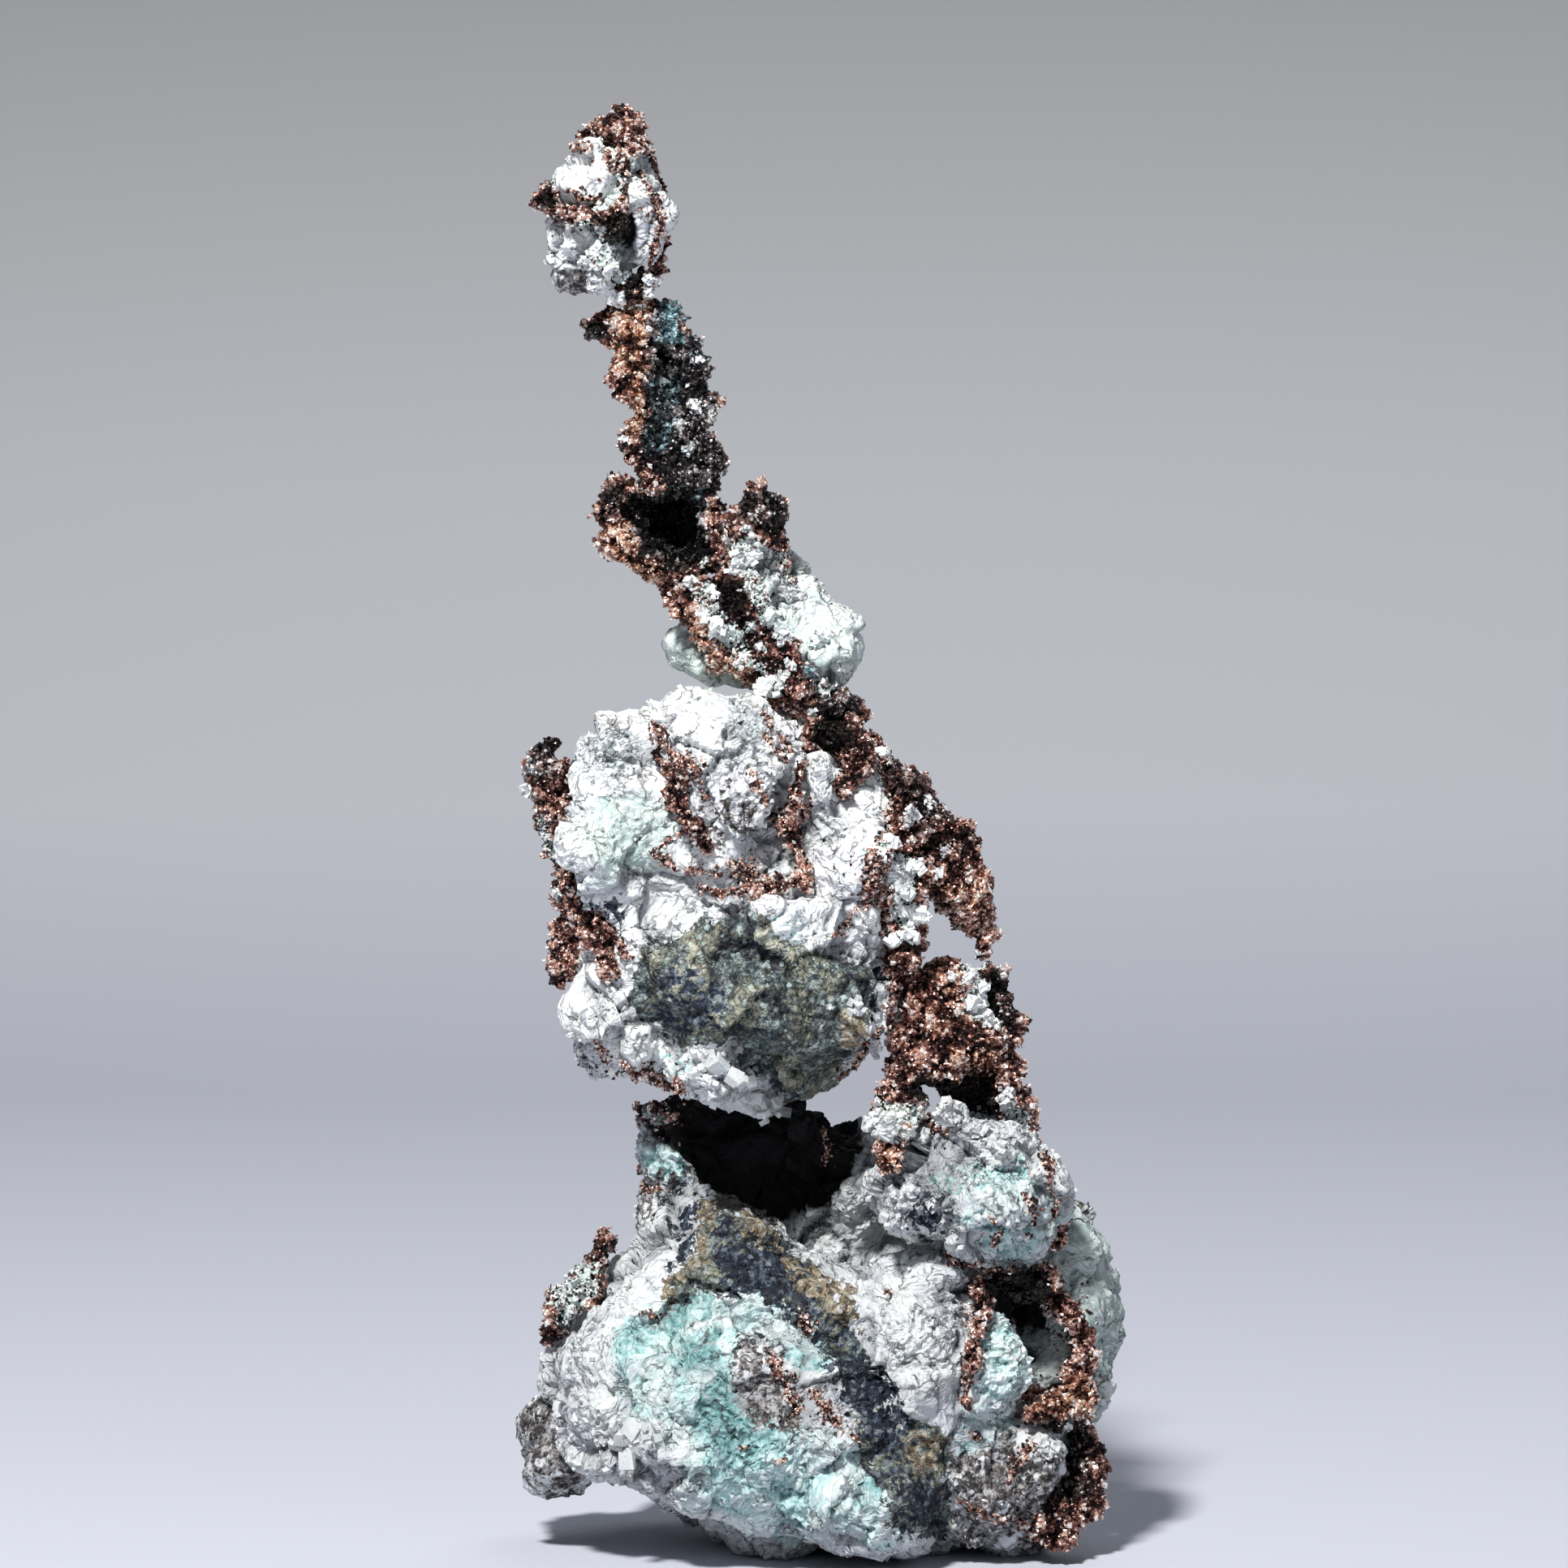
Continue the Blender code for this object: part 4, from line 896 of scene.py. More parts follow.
# White and pale green bits caught in the copper: (pixel, size in mm, green)
BITS = [
    ((917, 688), 1.5, 0.3), ((905, 700), 0.9, 0.4), ((936, 682), 0.8, 0.2), ((945, 712), 1.1, 0.5),
    ((962, 725), 1.6, 0.3), ((980, 738), 1.2, 0.2), ((883, 772), 1.5, 0.3), ((900, 782), 1.0, 0.6),
    ((866, 760), 0.9, 0.4), ((943, 845), 1.3, 0.1), ((960, 838), 1.0, 0.5), ((915, 812), 0.9, 0.2),
    ((930, 770), 1.0, 0.4), ((950, 760), 1.3, 0.5), ((965, 785), 1.2, 0.3), ((940, 800), 0.8, 0.2),
    ((990, 812), 1.0, 0.4), ((975, 820), 0.8, 0.3), ((900, 665), 0.8, 0.1), ((925, 655), 0.7, 0.2),
    ((868, 690), 0.8, 0.4), ((850, 720), 0.9, 0.5), ((875, 735), 0.8, 0.3), ((1012, 850), 0.9, 0.5),
    ((1000, 875), 0.8, 0.3), ((855, 500), 0.8, 0.1), ((873, 512), 0.7, 0.1), ((800, 345), 0.9, 0.0),
    ((797, 360), 0.8, 0.0), ((703, 298), 1.2, 0.1), ((735, 305), 1.1, 0.0), ((765, 322), 1.5, 0.0),
    ((750, 332), 1.0, 0.0), ((690, 320), 1.2, 0.0), ((720, 322), 0.9, 0.0), ((1165, 1050), 0.9, 0.1),
    ((1100, 1075), 1.6, 0.2), ((1110, 1100), 1.3, 0.5), ((1095, 1040), 1.2, 0.3), ((1125, 1070), 1.0, 0.1),
    ((1180, 1155), 1.0, 0.0), ((1205, 1190), 1.2, 0.0), ((1215, 1215), 0.9, 0.0), ((1200, 1235), 1.5, 0.0),
    ((1212, 1255), 1.1, 0.0), ((1190, 1205), 0.8, 0.0), ((1170, 1205), 0.7, 0.0), ((1165, 1150), 0.8, 0.1),
    ((1240, 1355), 1.1, 0.0), ((1245, 1380), 0.9, 0.0), ((1215, 1375), 1.4, 0.0), ((1205, 1395), 1.2, 0.1),
    ((1165, 1372), 1.5, 0.0), ((1180, 1390), 1.2, 0.0), ((1150, 1362), 1.0, 0.0), ((1090, 1390), 1.5, 0.0),
    ((1085, 1375), 1.2, 0.0), ((1260, 1400), 1.0, 0.1), ((1135, 1400), 1.3, 0.0), ((1225, 1260), 1.0, 0.0),
    ((1145, 990), 0.8, 0.0), ((1120, 1010), 1.0, 0.1), ((1155, 1075), 0.7, 0.0), ((800, 405), 0.6, 0.2),
    ((1128, 1125), 1.4, 0.2), ((1118, 1150), 1.2, 0.1), ((1100, 1160), 1.0, 0.3), ((640, 960), 0.8, 0.4),
    ((652, 975), 0.7, 0.2), ((690, 1100), 0.8, 0.1), ((860, 445), 0.7, 0.1), ((835, 520), 0.8, 0.5),
    ((815, 470), 0.7, 0.6), ((850, 552), 0.8, 0.3), ((770, 540), 0.6, 0.0), ((1010, 790), 1.0, 0.5),
    ((748, 352), 1.2, 0.0), ((757, 366), 1.0, 0.1), ((735, 345), 1.3, 0.0), ((762, 376), 0.8, 0.1),
    ((800, 1368), 1.0, 0.5), ((815, 1376), 1.0, 0.5),
]
BIT_BLOCKS = (9, 7)  # blocks in the smallest bit, and how many more for each square mm of size
BIT_SPREAD = 0.27  # how far the blocks lie from their middle, as a share of the bit's size
BIT_SUNK = 0.15  # how far they may stand out, as a share of its size
BIT_SIZES = (0.25, 0.62)  # of a block, as a share of its size
BIT_HIGH = (0.45, 1.0)  # how raised a block counts, which sets how much painted shade of low places greys its white


def bit_shell(rng, trees, pixel, size, green):
    """A clump of broken pale blocks, sunk a little into what the eye meets at its pixel."""
    found = seen_at(trees, *pixel)
    if found is None:
        return None
    where, facing = found
    count = int(BIT_BLOCKS[0] + BIT_BLOCKS[1] * size * size)
    away = rng.normal(0, BIT_SPREAD, (count, 3)) * size
    away -= facing * np.maximum(0, away @ facing - BIT_SUNK * size)[:, None]
    sizes = size * rng.uniform(*BIT_SIZES, count)
    tints = {"green": np.full(count, green), "high": rng.uniform(*BIT_HIGH, count)}
    return crystals(rng, where + away, sizes, tints, BLOCK, *BIT_HABIT)


# Clear calcite blocks: (pixel, size in mm)
CALCITE = [
    ((872, 1300), 1.2), ((890, 1318), 1.7), ((912, 1330), 1.4), ((905, 1352), 1.6), ((880, 1345), 1.2),
    ((925, 1350), 1.1), ((860, 1325), 1.0), ((940, 1368), 1.4), ((960, 1372), 1.1), ((760, 1765), 1.5),
    ((780, 1775), 1.8), ((800, 1770), 1.2), ((770, 1752), 1.1), ((700, 1720), 1.3), ((690, 1750), 1.1),
    ((1250, 1520), 1.0), ((1100, 1505), 0.9), ((1120, 1560), 1.0), ((1055, 1240), 0.9), ((1120, 1240), 1.3),
    ((1128, 1215), 1.0), ((1112, 1262), 1.2),
]
CALCITE_COUNT = 12  # blocks in a group; the next three are shares of its size
CALCITE_SPREAD = 0.36
CALCITE_RISE = 0.05
CALCITE_SIZES = (0.2, 0.6)


def calcite_shell(rng, trees, pixel, size):
    """A few clear blocks together."""
    found = seen_at(trees, *pixel)
    if found is None:
        return None
    where, facing = found
    spread = rng.normal(0, CALCITE_SPREAD, (CALCITE_COUNT, 3)) * size
    sizes = size * rng.uniform(*CALCITE_SIZES, CALCITE_COUNT)
    places = where + spread + facing * size * CALCITE_RISE
    return crystals(rng, places, sizes, {}, BLOCK, *CALCITE_HABIT)


# ---------------------------------------------------------------- materials
# Colours as red, green, blue
PAINT = {
    "white": (0.89, 0.915, 0.91),
    "cloud": (0.74, 0.76, 0.80),
    "bright_white": (0.92, 0.94, 0.93),
    "grey_speck": (0.42, 0.45, 0.49),
    "grey_grain": (0.36, 0.38, 0.42),
    # painted shade for low places and for crevices
    "low_place_shade": (0.34, 0.36, 0.41),
    "crevice": (0.13, 0.13, 0.145),
    "deep_green": (0.42, 0.56, 0.52),
    "pale_green": (0.66, 0.76, 0.72),
    "teal_crust": (0.78, 0.83, 0.83),
    "teal_speck": (0.20, 0.32, 0.31),
    "olive_speck": (0.44, 0.56, 0.54),
    "olive_crack": (0.012, 0.014, 0.018),
    "navy_speck": (0.42, 0.48, 0.50),
    "line": (0.040, 0.038, 0.042),
    # painted shade: near black for the hollow and the cast shadows
    "hollow": (0.002, 0.002, 0.003),
    "darker_below": (0.72, 0.73, 0.74),
    # painted shade in the hollows between the copper's knobs
    "copper_hollow_shade": (0.006, 0.002, 0.002),
    # painted shade for the copper's dark areas
    "copper_painted_shade": (0.003, 0.0025, 0.0025),
    "crust_shade": (0.50, 0.60, 0.59),
    "crust_light": (0.78, 0.82, 0.80),
    "calcite_shade": (0.74, 0.79, 0.82),
    "calcite_light": (0.90, 0.91, 0.90),
}
# Colour ramps: (place, red, green, blue) for each stop
RAMPS = {
    "slate": ((0.36, 0.07, 0.09, 0.11), (0.50, 0.30, 0.35, 0.37), (0.60, 0.66, 0.72, 0.73)),
    "teal": ((0.20, 0.06, 0.13, 0.14), (0.32, 0.24, 0.47, 0.47), (0.42, 0.52, 0.79, 0.78),
             (0.52, 0.76, 0.96, 0.95), (0.66, 0.95, 1.0, 0.99)),
    "grey": ((0.36, 0.008, 0.007, 0.008), (0.44, 0.060, 0.050, 0.049), (0.52, 0.21, 0.190, 0.185),
             (0.62, 0.60, 0.585, 0.580)),
    "olive": ((0.34, 0.010, 0.014, 0.025), (0.42, 0.080, 0.090, 0.080), (0.49, 0.20, 0.205, 0.155),
              (0.57, 0.32, 0.32, 0.25), (0.68, 0.58, 0.57, 0.49)),
    "cool": ((0.36, 0.012, 0.02, 0.04), (0.50, 0.13, 0.17, 0.17), (0.64, 0.44, 0.51, 0.50)),
    "navy": ((0.38, 0.004, 0.006, 0.014), (0.52, 0.022, 0.032, 0.055), (0.66, 0.22, 0.27, 0.32)),
    "ochre": ((0.38, 0.06, 0.045, 0.03), (0.50, 0.28, 0.22, 0.145), (0.62, 0.62, 0.56, 0.44)),
    "copper": ((0.06, 0.012, 0.005, 0.006), (0.24, 0.095, 0.036, 0.031), (0.42, 0.34, 0.155, 0.120),
               (0.55, 0.66, 0.39, 0.30), (0.70, 0.97, 0.77, 0.68), (0.86, 1.0, 0.95, 0.92)),
    "warm": ((0.06, 0.024, 0.008, 0.006), (0.24, 0.16, 0.058, 0.034), (0.42, 0.46, 0.21, 0.13),
             (0.55, 0.78, 0.46, 0.31), (0.70, 0.98, 0.77, 0.60), (0.86, 1.0, 0.93, 0.84)),
    "tarnish": ((0.08, 0.006, 0.005, 0.006), (0.35, 0.050, 0.042, 0.043), (0.54, 0.21, 0.18, 0.175),
                (0.72, 0.55, 0.51, 0.50), (0.90, 0.92, 0.89, 0.88)),
    "patina": ((0.38, 0.012, 0.025, 0.032), (0.52, 0.11, 0.20, 0.23), (0.64, 0.42, 0.60, 0.64)),
    "paper_painted_shade": ((0.0, 0.503, 0.523, 0.597), (0.17, 0.565, 0.582, 0.629), (0.44, 0.520, 0.540, 0.566),
              (0.68, 0.447, 0.456, 0.476), (0.92, 0.362, 0.371, 0.386)),
}
# Edge of each coloured area: how far noise and single grains move it, where it starts and where it is full
MATRIX_EDGES = {
    "green": (0.8, 0.3, 0.12, 0.9),
    "slate": (2.2, 0.6, 0.35, 0.65),
    "teal": (2.0, 0.45, 0.25, 0.65),
    "grey": (2.8, 0.9, 0.36, 0.62),
    "olive": (1.9, 0.6, 0.36, 0.52),
    "navy": (3.0, 0.9, 0.42, 0.56),
    "ochre": (2.8, 0.9, 0.45, 0.60),
    "black": (0.6, 0.3, 0.2, 0.7),
}
COPPER_EDGES = {
    "tarnish": (0.9, 0.5, 0.25, 0.85),
    "patina": (0.6, 0.6, 0.35, 0.75),
    "pale": (0.0, 0.35, 0.48, 0.62),
}
DARKER_BELOW_HEIGHT = (30.0, 38.0)  # z, in mm, over which the matrix turns from darker below to plain above


class Graph:
    """A node material under construction; sizes are in millimetres."""

    def __init__(self, name):
        self.material = bpy.data.materials.new(name)
        self.material.use_nodes = True
        self.tree = self.material.node_tree
        self.shader = self.tree.nodes["Principled BSDF"]
        self.coords = self.node("TexCoord", {}, "Object")

    def fill(self, node, inputs):
        """Each input takes a plain value or another node's output."""
        for key, value in inputs.items():
            if isinstance(value, bpy.types.NodeSocket):
                self.tree.links.new(value, node.inputs[key])
            else:
                node.inputs[key].default_value = value

    def node(self, kind, inputs, output=0, **settings):
        """One of the outputs of a new node."""
        node = self.tree.nodes.new("ShaderNode" + kind)
        for key, value in settings.items():
            setattr(node, key, value)
        self.fill(node, inputs)
        return node.outputs[output]

    def attribute(self, name):
        return self.node("Attribute", {}, "Fac", attribute_name=name)

    def height(self):
        return self.node("SeparateXYZ", {"Vector": self.coords}, "Z")

    def noise(self, size, detail=3.0, roughness=0.6, distortion=0.0, output="Fac"):
        return self.node("TexNoise", {"Vector": self.coords, "Scale": 1 / (size * MM), "Detail": detail,
                                      "Roughness": roughness, "Distortion": distortion}, output)

    def voronoi(self, size, output, place=None, feature="F1"):
        place = self.coords if place is None else place
        return self.node("TexVoronoi", {"Vector": place, "Scale": 1 / (size * MM)}, output, feature=feature)

    def cell(self, size, part):
        """A random number for each cell of this size."""
        return self.node("SeparateColor", {"Color": self.voronoi(size, "Color")}, part)

    def vector(self, operation, a, b, output="Vector"):
        return self.node("VectorMath", {0: a, 1: b}, output, operation=operation)

    def math(self, operation, a, b=0.0, clamp=False):
        return self.node("Math", {0: a, 1: b}, operation=operation, use_clamp=clamp)

    def times(self, a, b, clamp=False):
        return self.math("MULTIPLY", a, b, clamp)

    def plus(self, a, b):
        return self.math("ADD", a, b)

    def without(self, a):
        """1 less a."""
        return self.math("SUBTRACT", 1.0, a)

    def swing(self, a, amount):
        """A number from 0 to 1, centred on 0 and scaled."""
        return self.times(self.math("SUBTRACT", a, 0.5), amount)

    def spread(self, value, low, high, to_low=0.0, to_high=1.0):
        """Smooth step from one number at low to another at high."""
        limits = {"From Min": low, "From Max": high, "To Min": to_low, "To Max": to_high}
        return self.node("MapRange", {"Value": value, **limits}, "Result", interpolation_type="SMOOTHSTEP")

    def mix(self, factor, a, b, blend="MIX"):
        """Two colours mixed; a colour is a node's output or a name in PAINT."""
        a, b = [(*PAINT[colour], 1.0) if isinstance(colour, str) else colour for colour in (a, b)]
        return self.node("Mix", {0: factor, 6: a, 7: b}, 2, data_type="RGBA", blend_type=blend)

    def ramp(self, value, name):
        """A colour from one of the RAMPS."""
        colours = self.node("ValToRGB", {"Fac": value}, "Color")
        ramp = colours.node.color_ramp
        while len(ramp.elements) < len(RAMPS[name]):
            ramp.elements.new(0.5)
        for element, (place, *colour) in zip(ramp.elements, RAMPS[name]):
            element.position = place
            element.color = (*colour, 1.0)
        return colours

    def bump(self, height, strength, distance, after=None):
        inputs = {"Strength": strength, "Distance": distance * MM, "Height": height}
        if after is not None:
            inputs["Normal"] = after
        return self.node("Bump", inputs, "Normal")

    def facets(self, size, slope, after=None, strength=1.0):
        """A bump of flat facets of this size, each tipped its own way."""
        site = self.voronoi(size, "Position")
        away = self.vector("SUBTRACT", self.coords, site)
        tip = self.vector("SUBTRACT", site.node.outputs["Color"], (0.5, 0.5, 0.5))
        tipped = self.vector("DOT_PRODUCT", away, tip, "Value")
        return self.bump(tipped, strength, 2 * slope / MM, after)

    def folds(self, size, count):
        """0 to 1 over and over along warped noise of this size: the scales of a layered crust."""
        return self.math("FRACT", self.times(self.noise(size, 3.0, 0.5, 1.2), count))

    def cracks(self, size, width, warp):
        """1 on thin wandering lines around cells of this size."""
        wander = self.noise(size * 0.6, 4.0, 0.5, output="Color")
        shift = self.vector("SUBTRACT", wander, (0.5, 0.5, 0.5))
        shift = self.vector("MULTIPLY", shift, (warp * MM, warp * MM, warp * MM))
        place = self.vector("ADD", self.coords, shift)
        edge = self.voronoi(size, "Distance", place, "DISTANCE_TO_EDGE")
        return self.spread(edge, 0.0, width / size, 1.0, 0.0)

    def finish(self, colour, normal, looks):
        self.fill(self.shader, {"Base Color": colour, "Normal": normal, **looks})
        return self.material


class Matrix(Graph):
    """White sugary matrix that turns teal, pale green, olive, navy, ochre or grey by its attributes."""

    def __init__(self):
        super().__init__("matrix")
        self.wide = self.noise(4.5, 4, 0.55)
        self.mid = self.noise(1.3, 5, 0.65, 0.4)
        self.fine = self.noise(0.30, 4, 0.7)
        self.shade = self.noise(0.6, 5, 0.75)
        self.speck = self.cell(0.40, "Red")
        self.high = self.attribute("high")
        self.calm = self.attribute("calm")
        self.scales = self.folds(3.0, 13.0)

    def area(self, name, wobble):
        """An attribute with its edge broken up by noise and by single grains."""
        by_noise, by_grains, start, full = MATRIX_EDGES[name]
        inside = self.attribute(name)
        broken_up = self.plus(self.swing(wobble, by_noise), self.swing(self.speck, by_grains))
        ragged = self.times(broken_up, self.spread(inside, 0.0, 0.25))
        return self.spread(self.plus(inside, ragged), start, full)

    def lines(self):
        """1 on the dark lines: long cracks, short ones on the rough parts, and the edges of scales."""
        edges = self.times(self.spread(self.scales, 0.0, 0.12, 1.0, 0.0), self.spread(self.mid, 0.40, 0.58))
        long = self.times(self.cracks(2.8, 0.14, 2.8), self.spread(self.mid, 0.42, 0.56))
        short = self.times(self.cracks(1.1, 0.07, 1.2), self.spread(self.wide, 0.50, 0.60))
        short = self.times(short, self.without(self.calm))
        return self.math("MAXIMUM", long, self.math("MAXIMUM", short, self.times(edges, 0.55)))

    def white(self):
        """The bare matrix: white with grey grains, and painted shade in low places and crevices."""
        colour = self.mix(self.spread(self.wide, 0.44, 0.62), "white", "cloud")
        colour = self.mix(self.spread(self.mid, 0.46, 0.60, 0.0, 0.7), colour, "bright_white")
        colour = self.mix(self.spread(self.speck, 0.0, 0.25, 0.10, 0.0), colour, "grey_speck")
        colour = self.mix(self.spread(self.fine, 0.34, 0.46, 0.16, 0.0), colour, "grey_grain")
        # painted shade: low places greyer, crevices darker
        colour = self.mix(self.spread(self.high, 0.0, 0.36, 0.36, 0.0), colour, "low_place_shade")
        crevice = self.times(self.attribute("depth"), self.spread(self.mid, 0.3, 0.62, 1.0, 0.5), clamp=True)
        return self.mix(self.times(crevice, 0.85), colour, "crevice")

    def teal(self):
        # crests lighter and hollows deeper teal: painted light and shade by height
        level = self.plus(self.times(self.high, 0.34), self.times(self.shade, 0.62))
        teal = self.ramp(level, "teal")
        teal = self.mix(self.spread(self.wide, 0.50, 0.62, 0.0, 0.7), teal, "teal_crust")
        return self.mix(self.spread(self.speck, 0.0, 0.2, 0.25, 0.0), teal, "teal_speck")

    def olive(self):
        # high places lighter, low ones darker: painted light and shade by height
        level = self.plus(self.times(self.shade, 0.75), self.times(self.high, 0.25))
        clot = self.spread(self.cell(1.0, "Green"), 0.58, 0.66, 0.0, 0.7)
        olive = self.mix(clot, self.ramp(level, "olive"), self.ramp(self.shade, "cool"))
        olive = self.mix(self.spread(self.speck, 0.88, 0.93, 0.0, 0.6), olive, "olive_speck")
        return self.mix(self.times(self.cracks(0.8, 0.06, 0.8), 0.85), olive, "olive_crack")

    def navy(self):
        navy = self.ramp(self.shade, "navy")
        return self.mix(self.spread(self.speck, 0.90, 0.96, 0.0, 0.35), navy, "navy_speck")

    def coloured(self, lines):
        """The white matrix with its coloured areas laid over it one after another."""
        green = self.mix(self.spread(self.mid, 0.35, 0.65), "deep_green", "pale_green")
        colour = self.mix(self.times(self.area("green", self.wide), 0.8), self.white(), green)
        tints = {
            "slate": self.ramp(self.shade, "slate"),
            "teal": self.teal(),
            "grey": self.ramp(self.shade, "grey"),
            "olive": self.olive(),
            "navy": self.navy(),
            "ochre": self.ramp(self.shade, "ochre"),
        }
        for name, tint in tints.items():
            colour = self.mix(self.area(name, self.mid), colour, tint)
        colour = self.mix(self.times(lines, 0.8), colour, "line")
        # painted shade: the black areas turn near black
        colour = self.mix(self.times(self.area("black", self.mid), 0.99), colour, "hollow")
        # darker towards the bottom
        low, high = DARKER_BELOW_HEIGHT
        dimmed = self.spread(self.height(), low * MM, high * MM, 1.0, 0.0)
        return self.mix(dimmed, colour, "darker_below", "MULTIPLY")

    def relief(self, lines):
        """Facets, scales, grains and cracks too fine for the mesh; calm places have less of them."""
        tight = self.without(self.times(self.calm, 0.85))
        normal = self.facets(1.1, 0.22)
        normal = self.facets(0.40, 0.20, normal, tight)
        normal = self.bump(self.scales, 0.6, 0.22, normal)
        normal = self.bump(self.fine, self.times(tight, 0.35), 0.12, normal)
        return self.bump(self.without(lines), 0.6, 0.12, normal)


def rock_material():
    """The matrix as a material."""
    g = Matrix()
    lines = g.lines()
    return g.finish(g.coloured(lines), g.relief(lines), {"Roughness": 0.75, "Specular IOR Level": 0.25})


def copper_material():
    """Granular native copper: brown to pinkish facets, dark or teal tarnish, and painted maroon shade in
    hollows.
    """
    g = Graph("native_copper")
    mottle = g.noise(0.5, 3, 0.6)
    shade = g.noise(1.8, 3, 0.6)
    speck = g.cell(0.20, "Red")
    bright = g.attribute("bright")

    def area(name):
        """An attribute with its edge broken up by noise and by single grains."""
        by_shade, by_speck, start, full = COPPER_EDGES[name]
        value = g.attribute(name)
        if by_shade:
            value = g.plus(value, g.swing(shade, by_shade))
        return g.spread(g.plus(value, g.swing(speck, by_speck)), start, full)

    value = g.plus(g.attribute("tone"), g.swing(mottle, 0.5))
    value = g.plus(value, g.swing(speck, 0.45))
    # the bright areas: partly fresher copper, partly painted light
    value = g.plus(value, g.times(bright, 0.14))
    colour = g.mix(bright, g.ramp(value, "copper"), g.ramp(value, "warm"))
    # painted shade: the low places between the knobs darken towards maroon black
    colour = g.mix(g.spread(g.attribute("lift"), 0.0, 0.42, 0.80, 0.0), colour, "copper_hollow_shade")
    colour = g.mix(area("tarnish"), colour, g.ramp(value, "tarnish"))
    coated = area("patina")
    colour = g.mix(coated, colour, g.ramp(mottle, "patina"))
    crusted = area("pale")
    colour = g.mix(crusted, colour, g.mix(g.spread(mottle, 0.4, 0.6), "crust_shade", "crust_light"))
    # painted shade: the dark areas turn near black
    colour = g.mix(g.times(g.spread(g.attribute("dark"), 0.2, 0.7), 0.97), colour, "copper_painted_shade")
    bare = g.times(g.without(g.math("MAXIMUM", coated, crusted)), 0.62)
    roughness = g.plus(g.spread(mottle, 0.3, 0.7, 0.24, 0.42), g.times(crusted, 0.4))
    return g.finish(colour, g.facets(0.17, 0.55), {"Metallic": bare, "Roughness": roughness})


def calcite_material():
    """Clear to milky calcite with a soft inner glow and fine cleavage."""
    g = Graph("calcite")
    cloud = g.noise(1.1, 4, 0.6)
    colour = g.mix(g.spread(cloud, 0.35, 0.65), "calcite_shade", "calcite_light")
    roughness = g.spread(cloud, 0.3, 0.7, 0.22, 0.42)
    cleavage = g.bump(g.noise(0.35, 3, 0.6), 0.4, 0.08)
    return g.finish(colour, cleavage, {"Roughness": roughness, "Transmission Weight": 0.35, "IOR": 1.55})


ROCK = rock_material()
METAL = copper_material()
CLEAR = calcite_material()

# ---------------------------------------------------------------- pieces
# Matrix solids: node, voxel, how far the crust stands out, how calm it is, slot, grains a square mm
ROCK_PIECES = (
    ("base_rock", 0.29, 0.20, 0.1, "white_matrix", 1.2),
    ("middle_rock", 0.25, 0.15, 0.2, "white_matrix", 1.8),
    ("side_nodule", 0.22, 0.15, 0.0, "white_matrix", 2.4),
    ("right_lobe", 0.27, 0.15, 0.4, "green_matrix", 1.0),
    ("neck_rock", 0.22, 0.10, 0.7, "green_matrix", 0.6),
    ("tip_calcite", 0.20, 0.15, 0.6, "white_matrix", 0.6),
)
LEAST_GREEN = 0.55  # how green a piece in the green slot is at least
# Copper: how far the core stands out from its solid, in mm, and crystals a square mm
COPPER_USUAL = (0.12, 10.0)
COPPER_OTHERS = {
    "copper_face_blade": (-0.20, 12.0),
    "copper_face_vein": (-0.20, 12.0),
    "copper_tip": (0.10, 12.0),
    "copper_left_strand": (0.34, 11.0),
    "copper_crook": (0.05, 11.0),
    "copper_back_branch": (0.0, 5.0),
    "copper_base_back": (0.0, 5.0),
}

rng = np.random.default_rng(20260)
rocks = []
for node, voxel, grow, calmness, slot, density in ROCK_PIECES:
    shell = rock_shell(node, voxel, grow, calmness)
    if slot == "green_matrix":
        shell.values["green"] = np.maximum(shell.values["green"], LEAST_GREEN)
    crust = joined([shell, sugar(rng, shell, density)])
    rocks.append(written(node + "_crust", crust, ROCK, (node,)))

coppers = []
for node in sorted(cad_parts):
    if node.startswith("copper_"):
        shell = copper_shell(rng, node, *COPPER_OTHERS.get(node, COPPER_USUAL))
        coppers.append(written(node + "_crystals", shell, METAL, (node,)))

rock_trees = trees_of(rocks)
veins = [vein_shell(rng, rock_trees, *vein) for vein in VEINS]
written("copper_threads", joined(veins), METAL)
all_trees = trees_of(rocks + coppers)
bits = [bit_shell(rng, all_trees, *bit) for bit in BITS]
written("pale_bits", joined(bits), ROCK)
clear = [calcite_shell(rng, rock_trees, *block) for block in CALCITE]
written("calcite_blocks", joined(clear), CLEAR)

# ---------------------------------------------------------------- floor, lights, camera
FLOOR_HALF = 900.0
FLOOR_FRONT = -900.0
BACK_WALL = 640.0
BEND = 300.0
BEND_STEPS = 16
WALL_TOP = 900.0
PAPER_TOP = 170.0  # the paper's ramp runs up to this height; it is painted shade, darker towards the top
# Lights: name, azimuth and elevation in degrees, distance and size in mm, power in W, colour
LIGHTS = (
    ("key", -19, 48, 700, 80, 8.2, (1.0, 0.985, 0.96)),
    ("fill", 40, 20, 800, 500, 0.5, (0.90, 0.94, 1.0)),
    ("back", 150, 55, 700, 400, 1.0, (0.95, 0.97, 1.0)),
)
SKY = (0.80, 0.86, 1.0, 1.0)
SKY_STRENGTH = 0.10
CLIP_START = 0.01  # in metres


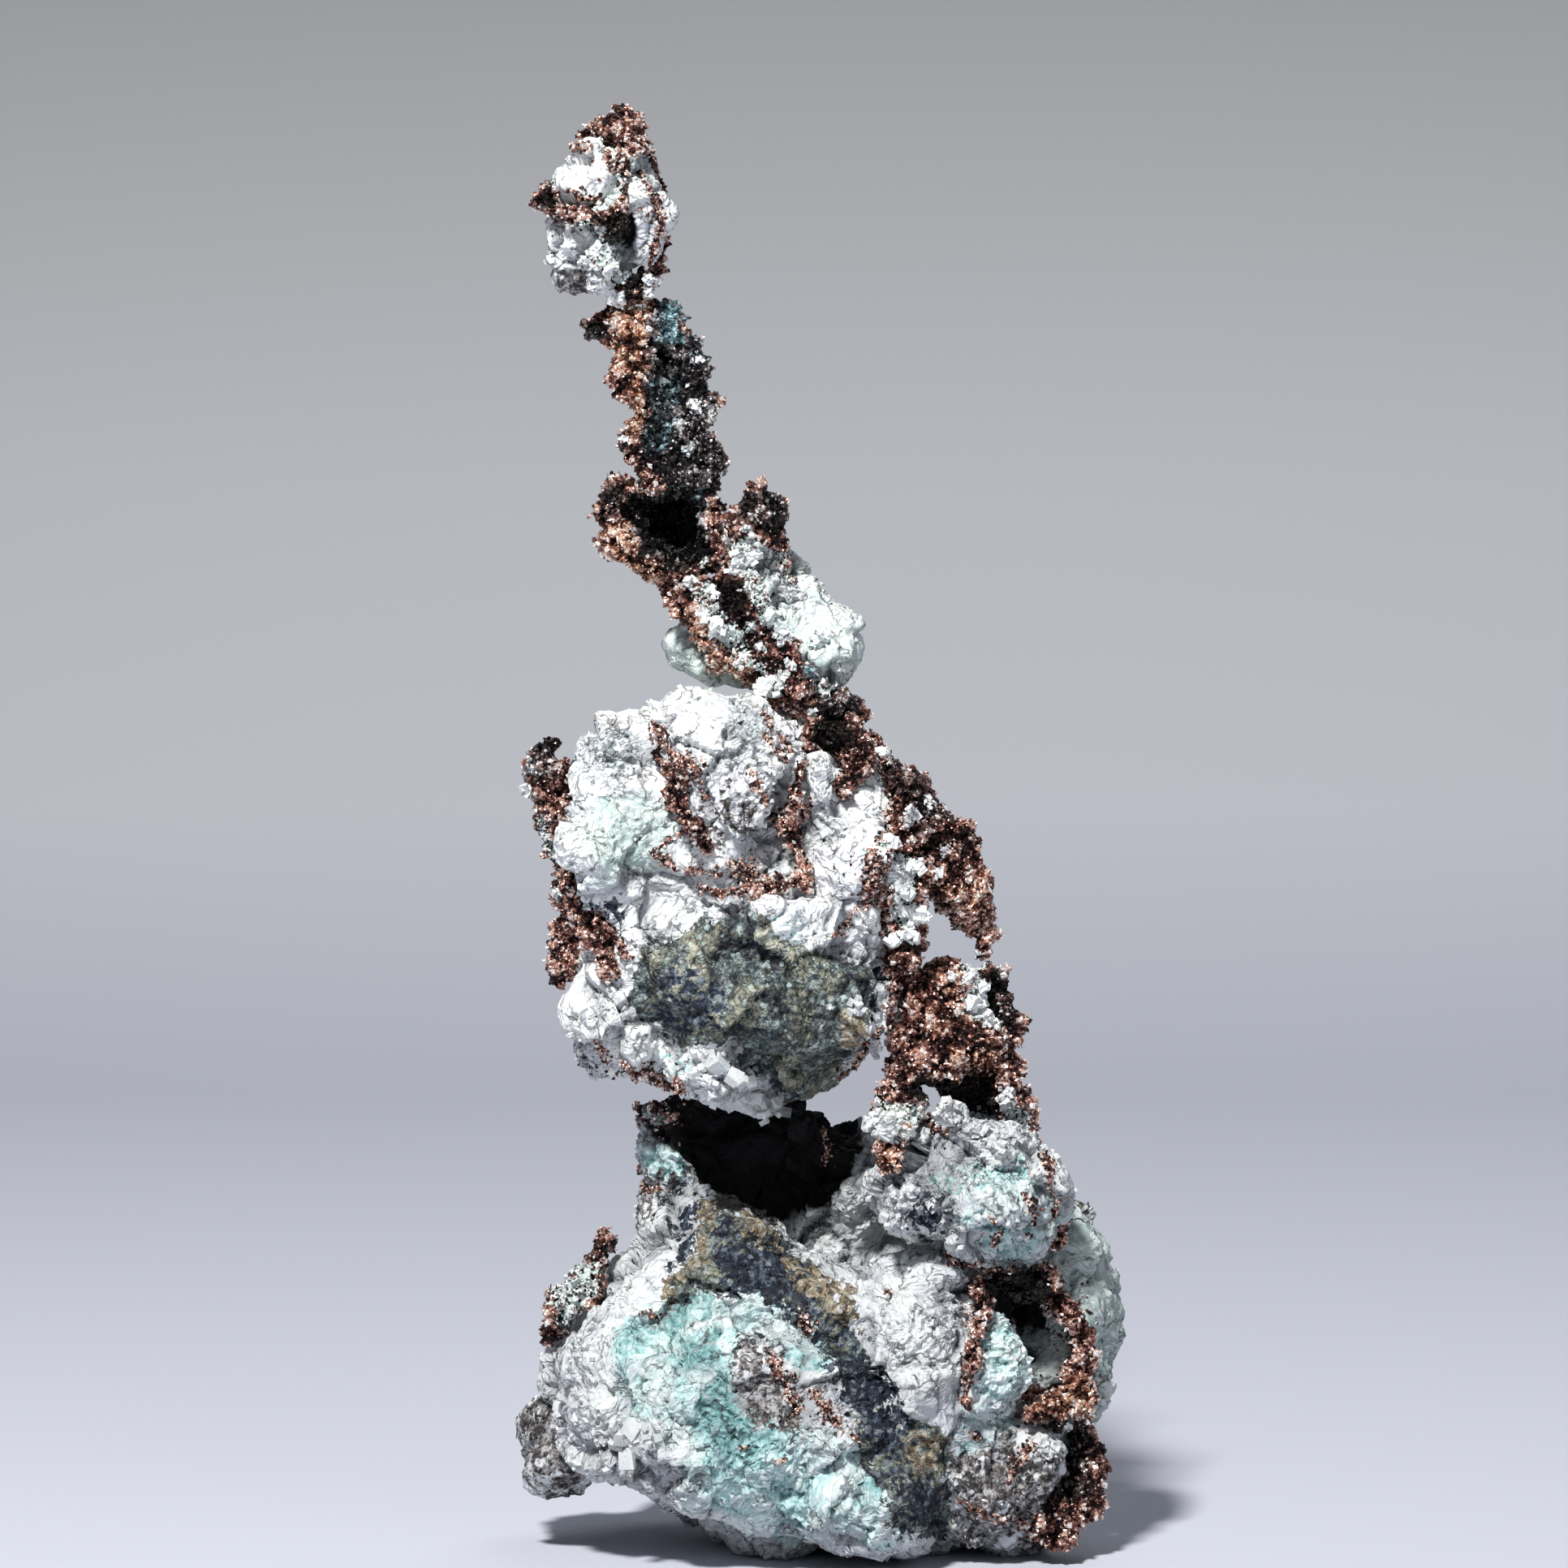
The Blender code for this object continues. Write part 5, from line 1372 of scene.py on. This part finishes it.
def sweep():
    """A floor that bends up into a wall behind the specimen."""
    profile = [(FLOOR_FRONT, 0.0), (BACK_WALL - BEND, 0.0)]
    for k in range(1, BEND_STEPS + 1):
        turn = math.pi / 2 * k / BEND_STEPS
        profile.append((BACK_WALL - BEND + BEND * math.sin(turn), BEND - BEND * math.cos(turn)))
    profile.append((BACK_WALL, WALL_TOP))
    verts = [(side * FLOOR_HALF * MM, y * MM, z * MM) for y, z in profile for side in (-1, 1)]
    faces = [(2 * k, 2 * k + 1, 2 * k + 3, 2 * k + 2) for k in range(len(profile) - 1)]
    mesh = bpy.data.meshes.new("sweep")
    mesh.from_pydata(verts, [], faces)
    for face in mesh.polygons:
        face.use_smooth = True
    floor = linked("sweep", mesh)
    g = Graph("studio_paper")
    # painted shade: the paper's colour darkens with height
    colour = g.ramp(g.times(g.height(), 1 / (PAPER_TOP * MM), clamp=True), "paper_painted_shade")
    mesh.materials.append(g.finish(colour, g.bump(g.noise(3.0), 0.05, 0.05), {"Roughness": 0.9}))


def area_light(name, azimuth, elevation, distance, size, power, colour):
    """A square soft light that faces the specimen's middle."""
    data = bpy.data.lights.new(name, "AREA")
    data.size = size * MM
    data.energy = power
    data.color = colour
    light = linked(name, data)
    a, e = math.radians(azimuth), math.radians(elevation)
    way = Vector((math.sin(a) * math.cos(e), -math.cos(a) * math.cos(e), math.sin(e)))
    middle = Vector(TARGET * MM)
    light.location = middle + way * distance * MM
    light.rotation_euler = (middle - light.location).to_track_quat("-Z", "Y").to_euler()


sweep()
for light in LIGHTS:
    area_light(*light)
world = bpy.data.worlds.new("studio")
bpy.context.scene.world = world
world.use_nodes = True
world.node_tree.nodes["Background"].inputs["Color"].default_value = SKY
world.node_tree.nodes["Background"].inputs["Strength"].default_value = SKY_STRENGTH

camera_data = bpy.data.cameras.new("camera")
camera_data.lens = LENS
camera_data.sensor_width = SENSOR
camera_data.clip_start = CLIP_START
camera = linked("camera", camera_data)
camera.location = Vector(EYE * MM)
camera.rotation_euler = (math.pi / 2 - ELEVATION, 0.0, 0.0)
bpy.context.scene.camera = camera
bpy.context.scene.view_settings.view_transform = "Standard"
